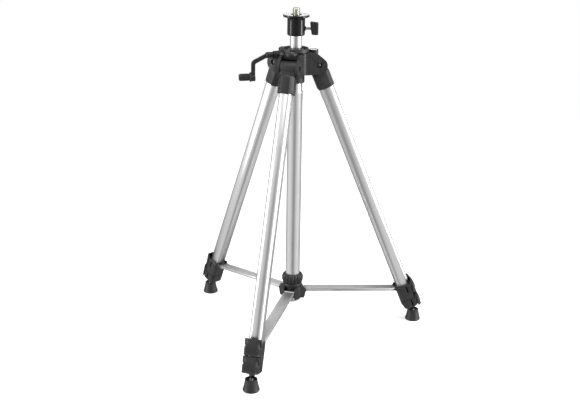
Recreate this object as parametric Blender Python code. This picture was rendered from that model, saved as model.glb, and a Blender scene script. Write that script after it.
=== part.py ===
"""Crank elevator tripod with a 5/8 inch instrument stud.

Three two-stage telescopic legs fold from a black nylon hub. A geared column rises
through the hub, driven by a crank, a pinion and a rack. Three struts brace the legs
to a spreader that slides on the centre tube and is clamped by a fluted lock ring.

The sizes below are in millimetres and degrees. Meshes are written in metres, +Z up,
with the floor at z = 0 and the origin at the middle of the tripod's footprint box.
"""

from math import atan2, cos, degrees, hypot, pi, radians, sin, tan

import bmesh
import bpy
from mathutils import Matrix, Vector

MM = 0.001
GAP = 0.3

# Legs
LEG_NAMES = ("front", "right", "left")
LEG_AZIMUTHS = (-90.0, 30.0, 150.0)
LEG_TILT = 22.4
PIVOT_R = 47.9
PIVOT_Z = 638.8
FOOT_R = 302.3
BALL_Z = 22.0
BARREL_R = 16.0
BARREL_HALF = 17.5
SOCKET_END = 53.0
TUBE_HALF = (16.25, 14.75)
TUBE_STEP = 1.95
TUBE_WALL = 1.5
UPPER_TUBE = (20.5, 600.0)
MIDDLE_TUBE = (60.0, 640.0)
LOWER_TUBE = (75.0, 655.0)
LEG_ROUND = 2.6

# Leg locks, measured down the leg from the pivot
UPPER_LOCK = (588.0, 626.0)
LOWER_LOCK = (626.6, 661.0)
LOCK_HALF = 18.0
LOCK_INNER_FACE = -17.4
LOCK_OUTER_FACE = 18.6
LOCK_STEP = (613.9, 12.2)
LEVER_PIN_X = 21.2
LEVER_PINS = (580.0, 617.4)
LEVER_HALF = 18.6
LEVER_LENGTH = 33.6
LEVER_BULGE = 24.6
EAR_HALF = 16.0

# Spreader
LUG_STATION = 589.0
LUG_OFFSET = 21.5
SPREADER_R = 24.0
SPREADER_Z = 106.2
STRUT_WIDTH = 24.0
STRUT_HEIGHT = 6.5
STRUT_WALL = 1.1
STRUT_LENGTH = 160.0
STRUT_SLOT = 64.0
LINK_LENGTH = 85.0
LINK_WIDTH = 8.0
LINK_HEIGHT = 4.8
LINK_BARREL_HALF = 12.2
SPREADER_BOTTOM = 92.0
SPREADER_TOP = 117.6
SPREADER_RING_R = 20.3
LOCK_RING = (118.0, 150.0)
LOCK_RING_R = 24.5
LOCK_RING_LOBES = 12

# Centre tubes
CENTRE_TUBE_R = 16.55
CENTRE_TUBE = (80.0, 581.0)
GUIDE_TUBE_R = 14.75
GUIDE_TUBE = (555.0, 617.6)
GUIDE_BORE_R = 13.5
BUSH_R = 20.0
BUSH = (599.0, 617.6)

# Hub
HUB_BOTTOM = 618.0
HUB_TOP = 666.0
HUB_R = 28.0
HUB_ARM_HALF = 23.5
HUB_SLOT_HALF = 17.9
HUB_SLOT_START = 29.3
HUB_CHEEK_R = 17.3
HUB_ROOF_END = 39.0
HUB_BORE_R = 13.35
BOLT_R = 3.0
COLLAR_R = 29.0
COLLAR = (666.3, 675.0)
BUBBLE_R = 10.2
BUBBLE_PLACE = 40.0
BUBBLE = (656.6, 670.4)

# Elevator column and head
COLUMN_R = 13.0
COLUMN_WALL = 2.2
COLUMN = (300.0, 737.6)
RACK_SLOT_HALF = 3.3
SLEEVE_R = 19.2
SLEEVE = (702.0, 742.0)
FLANGE_R = 28.5
FLANGE_TOP = 747.0
SLEEVE_BORE_TOP = 738.0
RECESS_R = 12.0
RECESS_Z = 744.0
STUD_R = 7.94
STUD_TOP = 762.0
SCREW_AZIMUTH = 16.0
SCREW_Z = 717.0
SCREW_R = 2.9

# Rack, pinion and crank
TOOTH_MODULE = 1.5
PINION_TEETH = 8
RACK_PITCH_R = 12.0
RACK_HALF = 2.9
RACK_BACK_R = 9.0
CRANK_AZIMUTH = 210.0
CRANK_Z = 657.0
SHAFT_R = 3.1
SHAFT = (-9.0, 53.0)
HOUSING_R = 8.8
HOUSING_END = 46.0
CRANK_BEND = (90.0, -15.5)
CRANK_THROW = 47.0
CRANK_HALF = 3.6
GRIP_R = 8.0
GRIP = (95.5, 121.8)

# Foot
FOOT_BASE_R = 18.0
FOOT_TOP_R = 12.2
FOOT_HEIGHT = 26.5
BALL_R = 5.2

PINION_R = TOOTH_MODULE * PINION_TEETH / 2
PINION_OFFSET = RACK_PITCH_R + PINION_R
AXIS_Y = 72.824

FINISHES = {
    "black_nylon": ((0.035, 0.036, 0.037), 0.5, 0.0),
    "gloss_black": ((0.008, 0.008, 0.009), 0.12, 0.0),
    "aluminium": ((0.78, 0.79, 0.80), 0.32, 1.0),
    "steel": ((0.62, 0.61, 0.58), 0.25, 1.0),
    "rubber": ((0.028, 0.029, 0.029), 0.72, 0.0),
    "vial": ((0.72, 0.80, 0.55), 0.08, 0.0),
}


# ---------------------------------------------------------------- materials and objects


def make_material(name):
    colour, roughness, metallic = FINISHES[name]
    material = bpy.data.materials.new(name)
    material.use_nodes = True
    shader = material.node_tree.nodes["Principled BSDF"]
    shader.inputs["Base Color"].default_value = (*colour, 1.0)
    shader.inputs["Roughness"].default_value = roughness
    shader.inputs["Metallic"].default_value = metallic
    material.diffuse_color = (*colour, 1.0)
    return material


def put_object(name, mesh, finish, parent=None, matrix=None):
    """Link one object; its mesh may be shared with its copies on the other legs."""
    if not mesh.materials:
        mesh.materials.append(bpy.data.materials[finish])
    mesh.name = name
    thing = bpy.data.objects.new(name, mesh)
    bpy.context.collection.objects.link(thing)
    thing.parent = parent
    thing.matrix_local = matrix or Matrix.Identity(4)
    return thing


def put_empty(name, matrix, parent=None):
    empty = bpy.data.objects.new(name, None)
    bpy.context.collection.objects.link(empty)
    empty.parent = parent
    empty.matrix_local = matrix
    return empty


def place(x=0.0, y=0.0, z=0.0, turn=None):
    """A location in millimetres, with an optional turn before it."""
    move = Matrix.Translation(Vector((x, y, z)) * MM)
    return move @ turn.to_4x4() if turn else move


# ---------------------------------------------------------------- mesh tools


def to_mesh(bm):
    """Finish a bmesh held in millimetres as a metre mesh, faces out, smooth where round."""
    bmesh.ops.remove_doubles(bm, verts=bm.verts, dist=0.001)
    bmesh.ops.recalc_face_normals(bm, faces=bm.faces)
    bmesh.ops.triangulate(bm, faces=[face for face in bm.faces if len(face.verts) > 4])
    for vert in bm.verts:
        vert.co *= MM
    mesh = bpy.data.meshes.new("piece")
    bm.to_mesh(mesh)
    bm.free()
    mesh.shade_smooth()
    mesh.set_sharp_from_angle(angle=radians(35))
    return mesh


def loft(rings, matrix=None):
    """A closed skin through rings of equal length, capped at both ends."""
    bm = bmesh.new()
    loops = [[bm.verts.new(point) for point in ring] for ring in rings]
    count = len(loops[0])
    for lower, upper in zip(loops, loops[1:]):
        for i in range(count):
            j = (i + 1) % count
            bm.faces.new((lower[i], lower[j], upper[j], upper[i]))
    bm.faces.new(loops[0][::-1])
    bm.faces.new(loops[-1])
    mesh = to_mesh(bm)
    if matrix:
        mesh.transform(matrix)
    return mesh


def tube_mesh(outer, inner, low, high):
    """A straight tube between two sections, along local Z."""
    bm = bmesh.new()
    loops = []
    for section, z in ((outer, low), (outer, high), (inner, high), (inner, low)):
        loops.append([bm.verts.new((x, y, z)) for x, y in section])
    count = len(outer)
    for k, lower in enumerate(loops):
        upper = loops[(k + 1) % 4]
        for i in range(count):
            j = (i + 1) % count
            bm.faces.new((lower[i], lower[j], upper[j], upper[i]))
    return to_mesh(bm)


def turned(profile, steps=24, matrix=None):
    """Spin a closed (radius, z) profile once round local Z."""
    bm = bmesh.new()
    verts = [bm.verts.new((radius, 0, z)) for radius, z in profile]
    edges = [bm.edges.new((a, b)) for a, b in zip(verts, verts[1:] + verts[:1])]
    on_axis = [edge for edge in edges if all(abs(v.co.x) < 1e-6 for v in edge.verts)]
    for edge in on_axis:
        edges.remove(edge)
        bm.edges.remove(edge)
    geom = verts + edges
    bmesh.ops.spin(bm, geom=geom, cent=(0, 0, 0), axis=(0, 0, 1), angle=2 * pi, steps=steps)
    bmesh.ops.remove_doubles(bm, verts=bm.verts, dist=0.001)
    mesh = to_mesh(bm)
    if matrix:
        mesh.transform(matrix)
    return mesh


def prism(outline, low, high, matrix=None):
    """Extrude an (x, y) outline along local Z."""
    rings = [[(x, y, z) for x, y in outline] for z in (low, high)]
    return loft(rings, matrix)


def side_prism(outline, half, matrix=None):
    """Extrude an (x, z) outline to both sides along local Y."""
    rings = [[(x, y, z) for x, z in outline] for y in (half, -half)]
    return loft(rings, matrix)


def box(low, high, matrix=None):
    outline = [(low[0], low[1]), (high[0], low[1]), (high[0], high[1]), (low[0], high[1])]
    return prism(outline, low[2], high[2], matrix)


def cylinder(radius, low, high, steps=24, matrix=None):
    outline = circle(radius, steps)
    return prism(outline, low, high, matrix)


def circle(radius, steps=24, centre=(0.0, 0.0), start=0.0):
    """A many-sided round outline, with its corners on the radius."""
    turns = [radians(start) + 2 * pi * k / steps for k in range(steps)]
    return [(centre[0] + radius * cos(a), centre[1] + radius * sin(a)) for a in turns]


def arc(centre, radius, start, end, steps):
    turns = [radians(start + (end - start) * k / steps) for k in range(steps + 1)]
    return [(centre[0] + radius * cos(a), centre[1] + radius * sin(a)) for a in turns]


def oval(half_x, half_y, steps=16, power=LEG_ROUND):
    """A rounded oblong section, fuller than an ellipse."""
    points = []
    for k in range(steps):
        a = 2 * pi * (k + 0.5) / steps
        x = abs(cos(a)) ** (2 / power) * (1 if cos(a) > 0 else -1)
        y = abs(sin(a)) ** (2 / power) * (1 if sin(a) > 0 else -1)
        points.append((half_x * x, half_y * y))
    return points


def combine(mesh, others, operation):
    """Union or difference of meshes with an exact Boolean, as one new mesh."""
    base = bpy.data.objects.new("base", mesh)
    bpy.context.collection.objects.link(base)
    cutters = []
    for other in others:
        cutter = bpy.data.objects.new("cutter", other)
        bpy.context.collection.objects.link(cutter)
        cutter.hide_render = True
        cutter.display_type = "WIRE"
        cutters.append(cutter)
        modifier = base.modifiers.new("boolean", "BOOLEAN")
        modifier.operation = operation
        modifier.solver = "EXACT"
        modifier.object = cutter
    bpy.context.view_layer.update()
    depsgraph = bpy.context.evaluated_depsgraph_get()
    result = bpy.data.meshes.new_from_object(base.evaluated_get(depsgraph))
    for thing in [base, *cutters]:
        bpy.data.objects.remove(thing)
    bm = bmesh.new()
    bm.from_mesh(result)
    bmesh.ops.remove_doubles(bm, verts=bm.verts, dist=0.000002)
    bmesh.ops.dissolve_limit(bm, angle_limit=radians(0.5), verts=bm.verts, edges=bm.edges)
    bmesh.ops.triangulate(bm, faces=bm.faces)
    bm.to_mesh(result)
    bm.free()
    result.shade_smooth()
    result.set_sharp_from_angle(angle=radians(35))
    result.materials.clear()
    return result


def join(mesh, *others):
    return combine(mesh, others, "UNION")


def cut(mesh, *others):
    return combine(mesh, others, "DIFFERENCE")


def spin_z(angle):
    return Matrix.Rotation(radians(angle), 4, "Z")


def along_y(x=0.0, z=0.0):
    """Turn a piece made along Z so that it lies along Y, at a place in the XZ plane."""
    return place(x, 0.0, z) @ Matrix.Rotation(radians(90), 4, "X")


def along_x(y=0.0, z=0.0):
    return place(0.0, y, z) @ Matrix.Rotation(radians(90), 4, "Y")


# ---------------------------------------------------------------- head


def head_sleeve():
    """Glossy sleeve and mounting flange in one casting, with a blind bore for the column."""
    bottom, top = SLEEVE
    profile = [
        (COLUMN_R + GAP + 0.05, bottom),
        (SLEEVE_R - 3.2, bottom),
        (SLEEVE_R - 0.5, bottom + 3.0),
        (SLEEVE_R, bottom + 5.0),
        (SLEEVE_R, top - 4.0),
        (SLEEVE_R + 3.4, top),
        (FLANGE_R - 1.2, top),
        (FLANGE_R, top + 1.4),
        (FLANGE_R, FLANGE_TOP - 1.4),
        (FLANGE_R - 1.2, FLANGE_TOP),
        (RECESS_R, FLANGE_TOP),
        (RECESS_R - 1.5, RECESS_Z),
        (5.0, RECESS_Z),
        (5.0, SLEEVE_BORE_TOP),
        (COLUMN_R + GAP + 0.05, SLEEVE_BORE_TOP),
    ]
    body = turned(profile, 24)
    turn = spin_z(SCREW_AZIMUTH) @ along_x(0.0, SCREW_Z)
    return cut(body, cylinder(SCREW_R + GAP, 5.0, 30.0, 12, turn))


def head_stud():
    """5/8 inch stud with a plain neck, shallow turned grooves and a domed tip."""
    profile = [(0.0, SLEEVE_BORE_TOP + 0.2), (4.7, SLEEVE_BORE_TOP + 0.2), (4.7, RECESS_Z + GAP)]
    z = RECESS_Z + GAP
    profile += [(STUD_R - 1.0, z), (STUD_R - 1.0, z + 1.2)]
    z += 1.2
    while z < STUD_TOP - 5.0:
        profile += [(STUD_R, z + 1.0), (STUD_R, z + 2.0), (STUD_R - 0.9, z + 3.0)]
        z += 3.1
    profile += [(STUD_R, z + 0.8), (STUD_R - 0.6, STUD_TOP - 1.8), (STUD_R - 2.6, STUD_TOP - 0.3)]
    profile += [(0.0, STUD_TOP)]
    return turned(profile, 12)


def head_screw():
    """Steel clamp screw for the sleeve, lying along local X."""
    profile = [(0.0, 13.6), (SCREW_R - 0.6, 13.6), (SCREW_R, 14.6), (SCREW_R, 36.0), (0.0, 36.0)]
    return turned(profile, 12, along_x())


def head_knob():
    """Flat wing knob on the clamp screw, lying along local X."""
    outline = [(31.0, -7.5), (34.0, -13.0), (38.5, -14.5), (45.5, -13.5), (47.5, -10.0)]
    outline += [(48.0, 0.0), (47.0, 9.5), (45.0, 13.6), (38.5, 14.5), (34.0, 13.8), (31.0, 8.0)]
    rings = []
    for y, inset in ((5.5, 2.2), (4.0, 0.4), (-4.0, 0.4), (-5.5, 2.2)):
        middle = 39.5
        scale = 1.0 - inset / 14.5
        rings.append([(middle + (x - middle) * scale, y, z * scale) for x, z in outline])
    body = loft(rings)
    return cut(body, cylinder(SCREW_R + GAP, 28.0, 36.4, 16, along_x()))


# ---------------------------------------------------------------- elevator column


def column_tube():
    """Aluminium tube with a full-length slot that holds the rack."""
    inner = COLUMN_R - COLUMN_WALL
    side = degrees(atan2(RACK_SLOT_HALF, COLUMN_R))
    inner_side = degrees(atan2(RACK_SLOT_HALF, inner))
    outline = arc((0.0, 0.0), COLUMN_R, side, 360 - side, 26)
    outline += arc((0.0, 0.0), inner, 360 - inner_side, inner_side, 26)
    return prism(outline, COLUMN[0], COLUMN[1], spin_z(CRANK_AZIMUTH - 90))


def column_rack():
    """Rack strip whose teeth face out through the slot, at local +X."""
    pitch = pi * TOOTH_MODULE
    tip = RACK_PITCH_R + 0.95
    root = RACK_PITCH_R - 1.35
    slope = tan(radians(20))
    flank_tip = pitch / 4 - 0.95 * slope - 0.12
    flank_root = pitch / 4 + 1.35 * slope - 0.12
    low, high = 360.0, 690.0
    first = int((low - CRANK_Z) / pitch) + 1
    last = int((high - CRANK_Z) / pitch) - 1
    outline = [(RACK_BACK_R, low), (root, low)]
    for k in range(first, last + 1):
        middle = CRANK_Z + (k + 0.5) * pitch
        outline += [(root, middle - flank_root), (tip, middle - flank_tip)]
        outline += [(tip, middle + flank_tip), (root, middle + flank_root)]
    outline += [(root, high), (RACK_BACK_R, high)]
    return side_prism(outline, RACK_HALF, spin_z(CRANK_AZIMUTH - 90))


# ---------------------------------------------------------------- crank drive, local X is the shaft


def pinion_shaft():
    """Crank shaft with its pinion; a pinion tooth lies in a rack gap at rest."""
    tip = PINION_R + 0.95
    root = PINION_R - 1.4
    pitch_half = 90.0 / PINION_TEETH
    outline = []
    for k in range(PINION_TEETH):
        middle = 180.0 + 360.0 * k / PINION_TEETH
        steps = ((root, 1.38), (PINION_R - 0.2, 1.0), (tip, 0.42))
        for radius, share in steps:
            a = radians(middle - share * pitch_half)
            outline.append((radius * cos(a), radius * sin(a)))
        for radius, share in steps[::-1]:
            a = radians(middle + share * pitch_half)
            outline.append((radius * cos(a), radius * sin(a)))
    gear = prism(outline, -3.0, 3.0, pinion_turn())
    shaft = cylinder(SHAFT_R, SHAFT[0], SHAFT[1], 12, along_x())
    return join(gear, shaft)


def pinion_turn():
    """Gear outline x towards the rack side (local +Y), its thickness along local X."""
    turn = Matrix(((0, 0, 1), (1, 0, 0), (0, 1, 0)))
    return turn.to_4x4()


def crank_arm():
    """Hub, bent arm and grip pin in one casting, on the end of the shaft."""
    bend_x, bend_z = CRANK_BEND
    centre = [(58.0, 0.0), (64.0, -0.5), (bend_x, bend_z), (bend_x + 0.8, -CRANK_THROW)]
    arm = side_prism(ribbon(centre, CRANK_HALF), 3.8)
    hub = turned([(0.0, 53.4), (SHAFT_R + 0.3, 53.4), (SHAFT_R + 0.3, HOUSING_END + 0.6),
                  (6.4, HOUSING_END + 0.6), (6.8, HOUSING_END + 2.0), (6.8, 60.0),
                  (5.4, 63.0), (0.0, 63.0)], 16, along_x())
    eye = cylinder(6.4, bend_x - 3.6, bend_x + 4.2, 14, along_x(0.0, -CRANK_THROW))
    pin = cylinder(2.6, bend_x, GRIP[1] - 0.8, 10, along_x(0.0, -CRANK_THROW))
    return join(arm, hub, eye, pin)


def crank_grip():
    """Ribbed grip that turns on the crank's pin."""
    low, high = GRIP
    bore = 3.0
    profile = [(bore, low), (GRIP_R - 1.2, low), (GRIP_R, low + 1.2), (GRIP_R, high - 1.4)]
    profile += [(GRIP_R - 1.6, high), (bore, high)]
    body = turned(profile, 18, along_x(0.0, -CRANK_THROW))
    slots = []
    for k in range(6):
        angle = Matrix.Rotation(2 * pi * k / 6, 4, "X")
        blade = box((low + 3.0, -0.8, GRIP_R - 0.9), (high - 3.0, 0.8, GRIP_R + 2.0))
        blade.transform(place(0.0, 0.0, -CRANK_THROW) @ angle)
        slots.append(blade)
    return cut(body, *slots)


def ribbon(points, half):
    """A mitred outline of constant thickness along a polyline."""
    left, right = [], []
    for i, (x, z) in enumerate(points):
        before = points[max(i - 1, 0)]
        after = points[min(i + 1, len(points) - 1)]
        into = Vector((x - before[0], z - before[1]))
        out = Vector((after[0] - x, after[1] - z))
        into = into.normalized() if into.length else out.normalized()
        out = out.normalized() if out.length else into
        middle = (into + out).normalized()
        normal = Vector((-middle.y, middle.x))
        reach = half / max(0.3, middle.dot(into))
        left.append((x + normal.x * reach, z + normal.y * reach))
        right.append((x - normal.x * reach, z - normal.y * reach))
    return left + right[::-1]


# ---------------------------------------------------------------- hub


def crank_matrix():
    """Frame of the crank shaft: X along the shaft, offset from the column to the rack side."""
    turn = spin_z(CRANK_AZIMUTH)
    return turn @ place(0.0, -PINION_OFFSET, CRANK_Z)


def hub_arm():
    pivot = (PIVOT_R, PIVOT_Z)
    outline = [(0.0, HUB_BOTTOM), (PIVOT_R - 6.0, HUB_BOTTOM)]
    outline += arc(pivot, HUB_CHEEK_R, -84, 58, 10)
    outline += [(BUBBLE_PLACE + 4.0, HUB_TOP - 5.5), (33.0, HUB_TOP), (0.0, HUB_TOP)]
    return side_prism(outline, HUB_ARM_HALF)


def hub_body():
    """Y-shaped hub: three clevis arms, a gear housing and the column's bearing bore."""
    arms = []
    cutters = [cylinder(HUB_BORE_R, 600.0, 690.0, 32)]
    slot = [(HUB_SLOT_START, 600.0), (90.0, 600.0), (90.0, 690.0), (HUB_ROOF_END, 690.0)]
    slot += [(HUB_ROOF_END, 656.3), (HUB_SLOT_START, 656.3)]
    sink = HUB_ARM_HALF - 2.6
    bolt = [(0.0, -40.0), (6.1, -40.0), (6.1, -sink), (BOLT_R + GAP, -sink)]
    bolt += [(BOLT_R + GAP, sink), (6.1, sink), (6.1, 40.0), (0.0, 40.0)]
    for azimuth in LEG_AZIMUTHS:
        turn = spin_z(azimuth)
        arm = hub_arm()
        arm.transform(turn)
        arms.append(arm)
        cutters.append(side_prism(slot, HUB_SLOT_HALF, turn))
        cutters.append(turned(bolt, 12, turn @ along_y(PIVOT_R, PIVOT_Z)))
    middle = cylinder(HUB_R, HUB_BOTTOM, HUB_TOP, 36)
    shaft = crank_matrix()
    housing = cylinder(HOUSING_R, 8.0, HOUSING_END, 24, shaft @ along_x())
    body = join(middle, *arms, housing)
    cutters.append(cylinder(PINION_R + 1.8, -3.5, 3.5, 18, shaft @ along_x()))
    cutters.append(cylinder(SHAFT_R + GAP + 0.1, SHAFT[0] - 0.5, 80.0, 16, shaft @ along_x()))
    bubble = spin_z(LEG_AZIMUTHS[1]) @ place(BUBBLE_PLACE, 0.0, 0.0)
    cutters.append(cylinder(BUBBLE_R + GAP, BUBBLE[0] - GAP, 700.0, 22, bubble))
    return cut(body, *cutters)


def hub_collar():
    """Dished bearing collar on top of the hub."""
    low, high = COLLAR
    profile = [(HUB_BORE_R, low), (COLLAR_R - 2.0, low), (COLLAR_R, low + 1.0)]
    profile += [(COLLAR_R, low + 4.4), (COLLAR_R - 2.4, high), (COLLAR_R - 6.0, high)]
    profile += [(COLLAR_R - 9.5, high - 3.2), (HUB_BORE_R, high - 3.2)]
    body = turned(profile, 24)
    bubble = spin_z(LEG_AZIMUTHS[1]) @ place(BUBBLE_PLACE, 0.0, 0.0)
    return cut(body, cylinder(BUBBLE_R + GAP, low - 5.0, high + 5.0, 20, bubble))


def bubble_housing():
    low, high = BUBBLE
    profile = [(0.0, low), (BUBBLE_R, low), (BUBBLE_R, high - 0.8), (BUBBLE_R - 0.8, high)]
    profile += [(BUBBLE_R - 1.9, high), (BUBBLE_R - 1.9, high - 5.0), (0.0, high - 5.0)]
    return turned(profile, 16)


def bubble_vial():
    low, high = BUBBLE
    radius = BUBBLE_R - 1.9 - GAP
    profile = [(0.0, high - 5.0 + GAP), (radius, high - 5.0 + GAP), (radius, high - 1.0)]
    profile += [(radius - 1.0, high - 0.2), (0.0, high)]
    return turned(profile, 16)


def column_bush():
    low, high = BUSH
    bore = GUIDE_TUBE_R + GAP
    profile = [(bore, low), (BUSH_R - 1.5, low), (BUSH_R, low + 1.5), (BUSH_R, high), (bore, high)]
    return turned(profile, 24)


def guide_tube():
    outer = circle(GUIDE_TUBE_R, 28)
    return tube_mesh(outer, circle(GUIDE_BORE_R, 28), GUIDE_TUBE[0], GUIDE_TUBE[1])


def centre_tube():
    """Outer centre tube that the spreader slides on, with a rolled top edge."""
    low, high = CENTRE_TUBE
    bore = GUIDE_TUBE_R + GAP
    profile = [(bore, low), (CENTRE_TUBE_R, low), (CENTRE_TUBE_R, high - 0.8)]
    profile += [(CENTRE_TUBE_R - 0.6, high), (bore, high)]
    return turned(profile, 24)


def lock_ring():
    """Fluted clamp ring above the spreader."""
    low, high = LOCK_RING
    steps = LOCK_RING_LOBES * 4
    bore = CENTRE_TUBE_R + GAP
    rings = []
    for z, reach, depth in ((low, -1.2, 1.0), (low + 2.0, 0.0, 2.2), (high - 9.0, 0.0, 2.2),
                            (high - 3.5, -1.6, 1.4), (high, -5.0, 0.2)):
        ring = []
        for k in range(steps):
            a = 2 * pi * k / steps
            wave = abs(cos(a * LOCK_RING_LOBES / 2)) ** 1.5
            radius = LOCK_RING_R + reach - depth * (1.0 - wave)
            ring.append((radius * cos(a), radius * sin(a), z))
        rings.append(ring)
    body = loft(rings)
    return cut(body, cylinder(bore, low - 5.0, high + 5.0, 28))


# ---------------------------------------------------------------- spreader


def spreader_hub():
    """Sliding ring with three pairs of cheeks for the struts."""
    pivot = (SPREADER_R, SPREADER_Z)
    inner = LINK_BARREL_HALF + GAP
    body = cylinder(SPREADER_RING_R, SPREADER_BOTTOM, SPREADER_TOP, 30)
    cheeks = []
    holes = [cylinder(CENTRE_TUBE_R + GAP, 60.0, 140.0, 28)]
    for azimuth in LEG_AZIMUTHS:
        turn = spin_z(azimuth)
        outline = [(13.0, SPREADER_BOTTOM), (20.0, 86.0), (28.0, 86.0)]
        outline += arc(pivot, 12.5, -48, 50, 6) + [(28.0, SPREADER_TOP), (13.0, SPREADER_TOP)]
        for side in (-1, 1):
            y = side * (inner + 1.8)
            cheek = side_prism(outline, 1.8)
            cheek.transform(turn @ place(0.0, y, 0.0))
            cheeks.append(cheek)
        holes.append(cylinder(2.0 + GAP, -30.0, 30.0, 8, turn @ along_y(*pivot)))
    body = join(body, *cheeks)
    return cut(body, *holes)


def strut_link():
    """Inner end of a strut: a barrel with axle stubs and a blade, along local +X."""
    barrel = cylinder(3.4, -LINK_BARREL_HALF, LINK_BARREL_HALF, 12, along_y())
    axle = cylinder(2.0, -LINK_BARREL_HALF - 3.8, LINK_BARREL_HALF + 3.8, 8, along_y())
    half_w = LINK_WIDTH / 2
    half_h = LINK_HEIGHT / 2
    blade = box((0.0, -half_w, -half_h), (LINK_LENGTH, half_w, half_h))
    return join(barrel, axle, blade)


def strut_bar():
    """Channel strut; local origin on the leg lug's pin, running along local -X."""
    half_w = STRUT_WIDTH / 2
    half_h = STRUT_HEIGHT / 2
    end = -STRUT_LENGTH
    outline = [(end, -half_h), (0.0, -half_h)] + arc((0.0, 0.0), half_h, -90, 90, 6)[1:]
    outline += [(0.0, half_h), (end, half_h)]
    body = side_prism(outline[:-2] + outline[-1:], half_w)
    inside = half_w - STRUT_WALL
    hollow = box((end - 5.0, -inside, -20.0), (20.0, inside, half_h - STRUT_WALL))
    window = box((-6.0, -inside, -20.0), (20.0, inside, 20.0))
    slot = box((end - 5.0, -LINK_WIDTH / 2 - 0.7, -20.0), (end + STRUT_SLOT, LINK_WIDTH / 2 + 0.7, 20.0))
    pin = cylinder(1.5 + GAP, -20.0, 20.0, 8, along_y())
    return cut(body, hollow, window, slot, pin)


# ---------------------------------------------------------------- leg, local -Z runs down the leg


def leg_socket():
    """Barrel and socket that joins a leg's tube to the hub."""
    half_x, half_y = TUBE_HALF
    barrel = cylinder(BARREL_R, -BARREL_HALF, BARREL_HALF, 20, along_y())
    neck_half = BARREL_HALF - 0.7
    neck = box((-13.0, -neck_half, -18.0), (13.0, neck_half, -4.0))
    rings = []
    for u, grow in ((15.0, -2.2), (19.0, 0.4), (24.0, 1.9), (SOCKET_END - 1.5, 2.4), (SOCKET_END, 1.6)):
        ring = oval(half_x + grow, min(half_y + grow, BARREL_HALF - 0.2), 16, 3.2)
        rings.append([(x, y, -u) for x, y in ring])
    skirt = loft(rings)
    body = join(barrel, neck, skirt)
    bore = oval(half_x + GAP, half_y + GAP)
    pocket = prism(bore, -SOCKET_END - 5.0, -UPPER_TUBE[0] + GAP)
    bolt = cylinder(BOLT_R + GAP, -40.0, 40.0, 12, along_y())
    return cut(body, pocket, bolt)


def pivot_bolt():
    """Hex-free round-headed pivot bolt with its sunk nut, along local Y."""
    end = HUB_ARM_HALF - 0.4
    head = HUB_ARM_HALF - 2.3
    profile = [(0.0, -end), (4.6, -end), (5.6, -end + 0.8), (5.6, -head), (BOLT_R, -head)]
    profile += [(BOLT_R, head), (5.6, head), (5.6, end - 0.8), (4.6, end), (0.0, end)]
    return turned(profile, 12, along_y())


def leg_tube(index, span):
    """One oval leg tube; each stage is a step smaller than the one it slides in."""
    half_x = TUBE_HALF[0] - TUBE_STEP * index
    half_y = TUBE_HALF[1] - TUBE_STEP * index
    outer = oval(half_x, half_y)
    inner = oval(half_x - TUBE_WALL, half_y - TUBE_WALL)
    return tube_mesh(outer, inner, -span[1], -span[0])


def lock_body(index, span):
    """Leg lock: a collar fixed to one tube that clamps the next, with ears for its lever.

    The lower lock's lever block reaches up into a step cut from the upper lock's outer side.
    """
    top, bottom = span
    tube_end = UPPER_TUBE[1] if index == 0 else MIDDLE_TUBE[1]
    taper = ((top, 0.6), (top + 2.0, 0.0), (bottom - 1.5, 0.0), (bottom, 0.6))
    if index == 1:
        taper = ((top, 0.0), (bottom - 11.0, 0.0), (bottom - 4.0, 2.0), (bottom, 5.0))
    rings = []
    for u, inset in taper:
        ring = oval(LOCK_OUTER_FACE - inset, LOCK_HALF - inset, 16, 3.4)
        rings.append([(x, y, -u) for x, y in ring])
    body = loft(rings)
    pin_u = LEVER_PINS[index]
    step_u, step_x = LOCK_STEP
    adds = lever_ears(pin_u, step_x + GAP)
    cuts = []
    half_x = TUBE_HALF[0] - TUBE_STEP * index
    half_y = TUBE_HALF[1] - TUBE_STEP * index
    if index == 0:
        adds.append(strut_lug())
        cuts.append(box((step_x, -40.0, -bottom - 5.0), (60.0, 40.0, -step_u)))
    else:
        block_low = (half_x + GAP, 0.7 - EAR_HALF, -top - 4.0)
        adds.append(box(block_low, (LOCK_OUTER_FACE - 0.1, EAR_HALF - 0.7, -pin_u + 2.0)))
    body = join(body, *adds)
    cuts.append(prism(oval(half_x + GAP, half_y + GAP), -tube_end - GAP, -top + 20.0))
    step = TUBE_STEP - 0.35
    cuts.append(prism(oval(half_x - step, half_y - step), -bottom - 5.0, -top + 20.0))
    cuts.append(cylinder(1.3 + GAP, -30.0, 30.0, 8, along_y(LEVER_PIN_X, -pin_u)))
    return cut(body, *cuts)


def lever_ears(pin_u, root_x):
    """Two ears that hold a flip lever's pin, standing up from the lock's outer side."""
    ears = []
    outline = [(root_x, -pin_u - 13.0), (LOCK_OUTER_FACE - 1.0, -pin_u - 13.0)]
    outline += arc((LEVER_PIN_X, -pin_u), 2.4, -20, 130, 3) + [(root_x + 2.0, -pin_u - 3.0)]
    width = (LOCK_HALF + 0.4 - EAR_HALF) / 2
    for side in (-1, 1):
        middle = side * (EAR_HALF + width)
        ears.append(side_prism(outline, width, place(0.0, middle, 0.0)))
    return ears


def strut_lug():
    """Inward lug with its pin, for the strut's outer end."""
    y = STRUT_WIDTH / 2 - STRUT_WALL - 0.4
    neck = box((-LUG_OFFSET, -y, -LUG_STATION - 1.9), (LOCK_INNER_FACE + 3.0, y, -LUG_STATION + 1.9))
    nose = cylinder(1.9, -y, y, 10, along_y(-LUG_OFFSET, -LUG_STATION))
    pin = cylinder(1.5, -STRUT_WIDTH / 2 - 0.6, STRUT_WIDTH / 2 + 0.6, 8, along_y(-LUG_OFFSET, -LUG_STATION))
    return join(neck, nose, pin)


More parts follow.
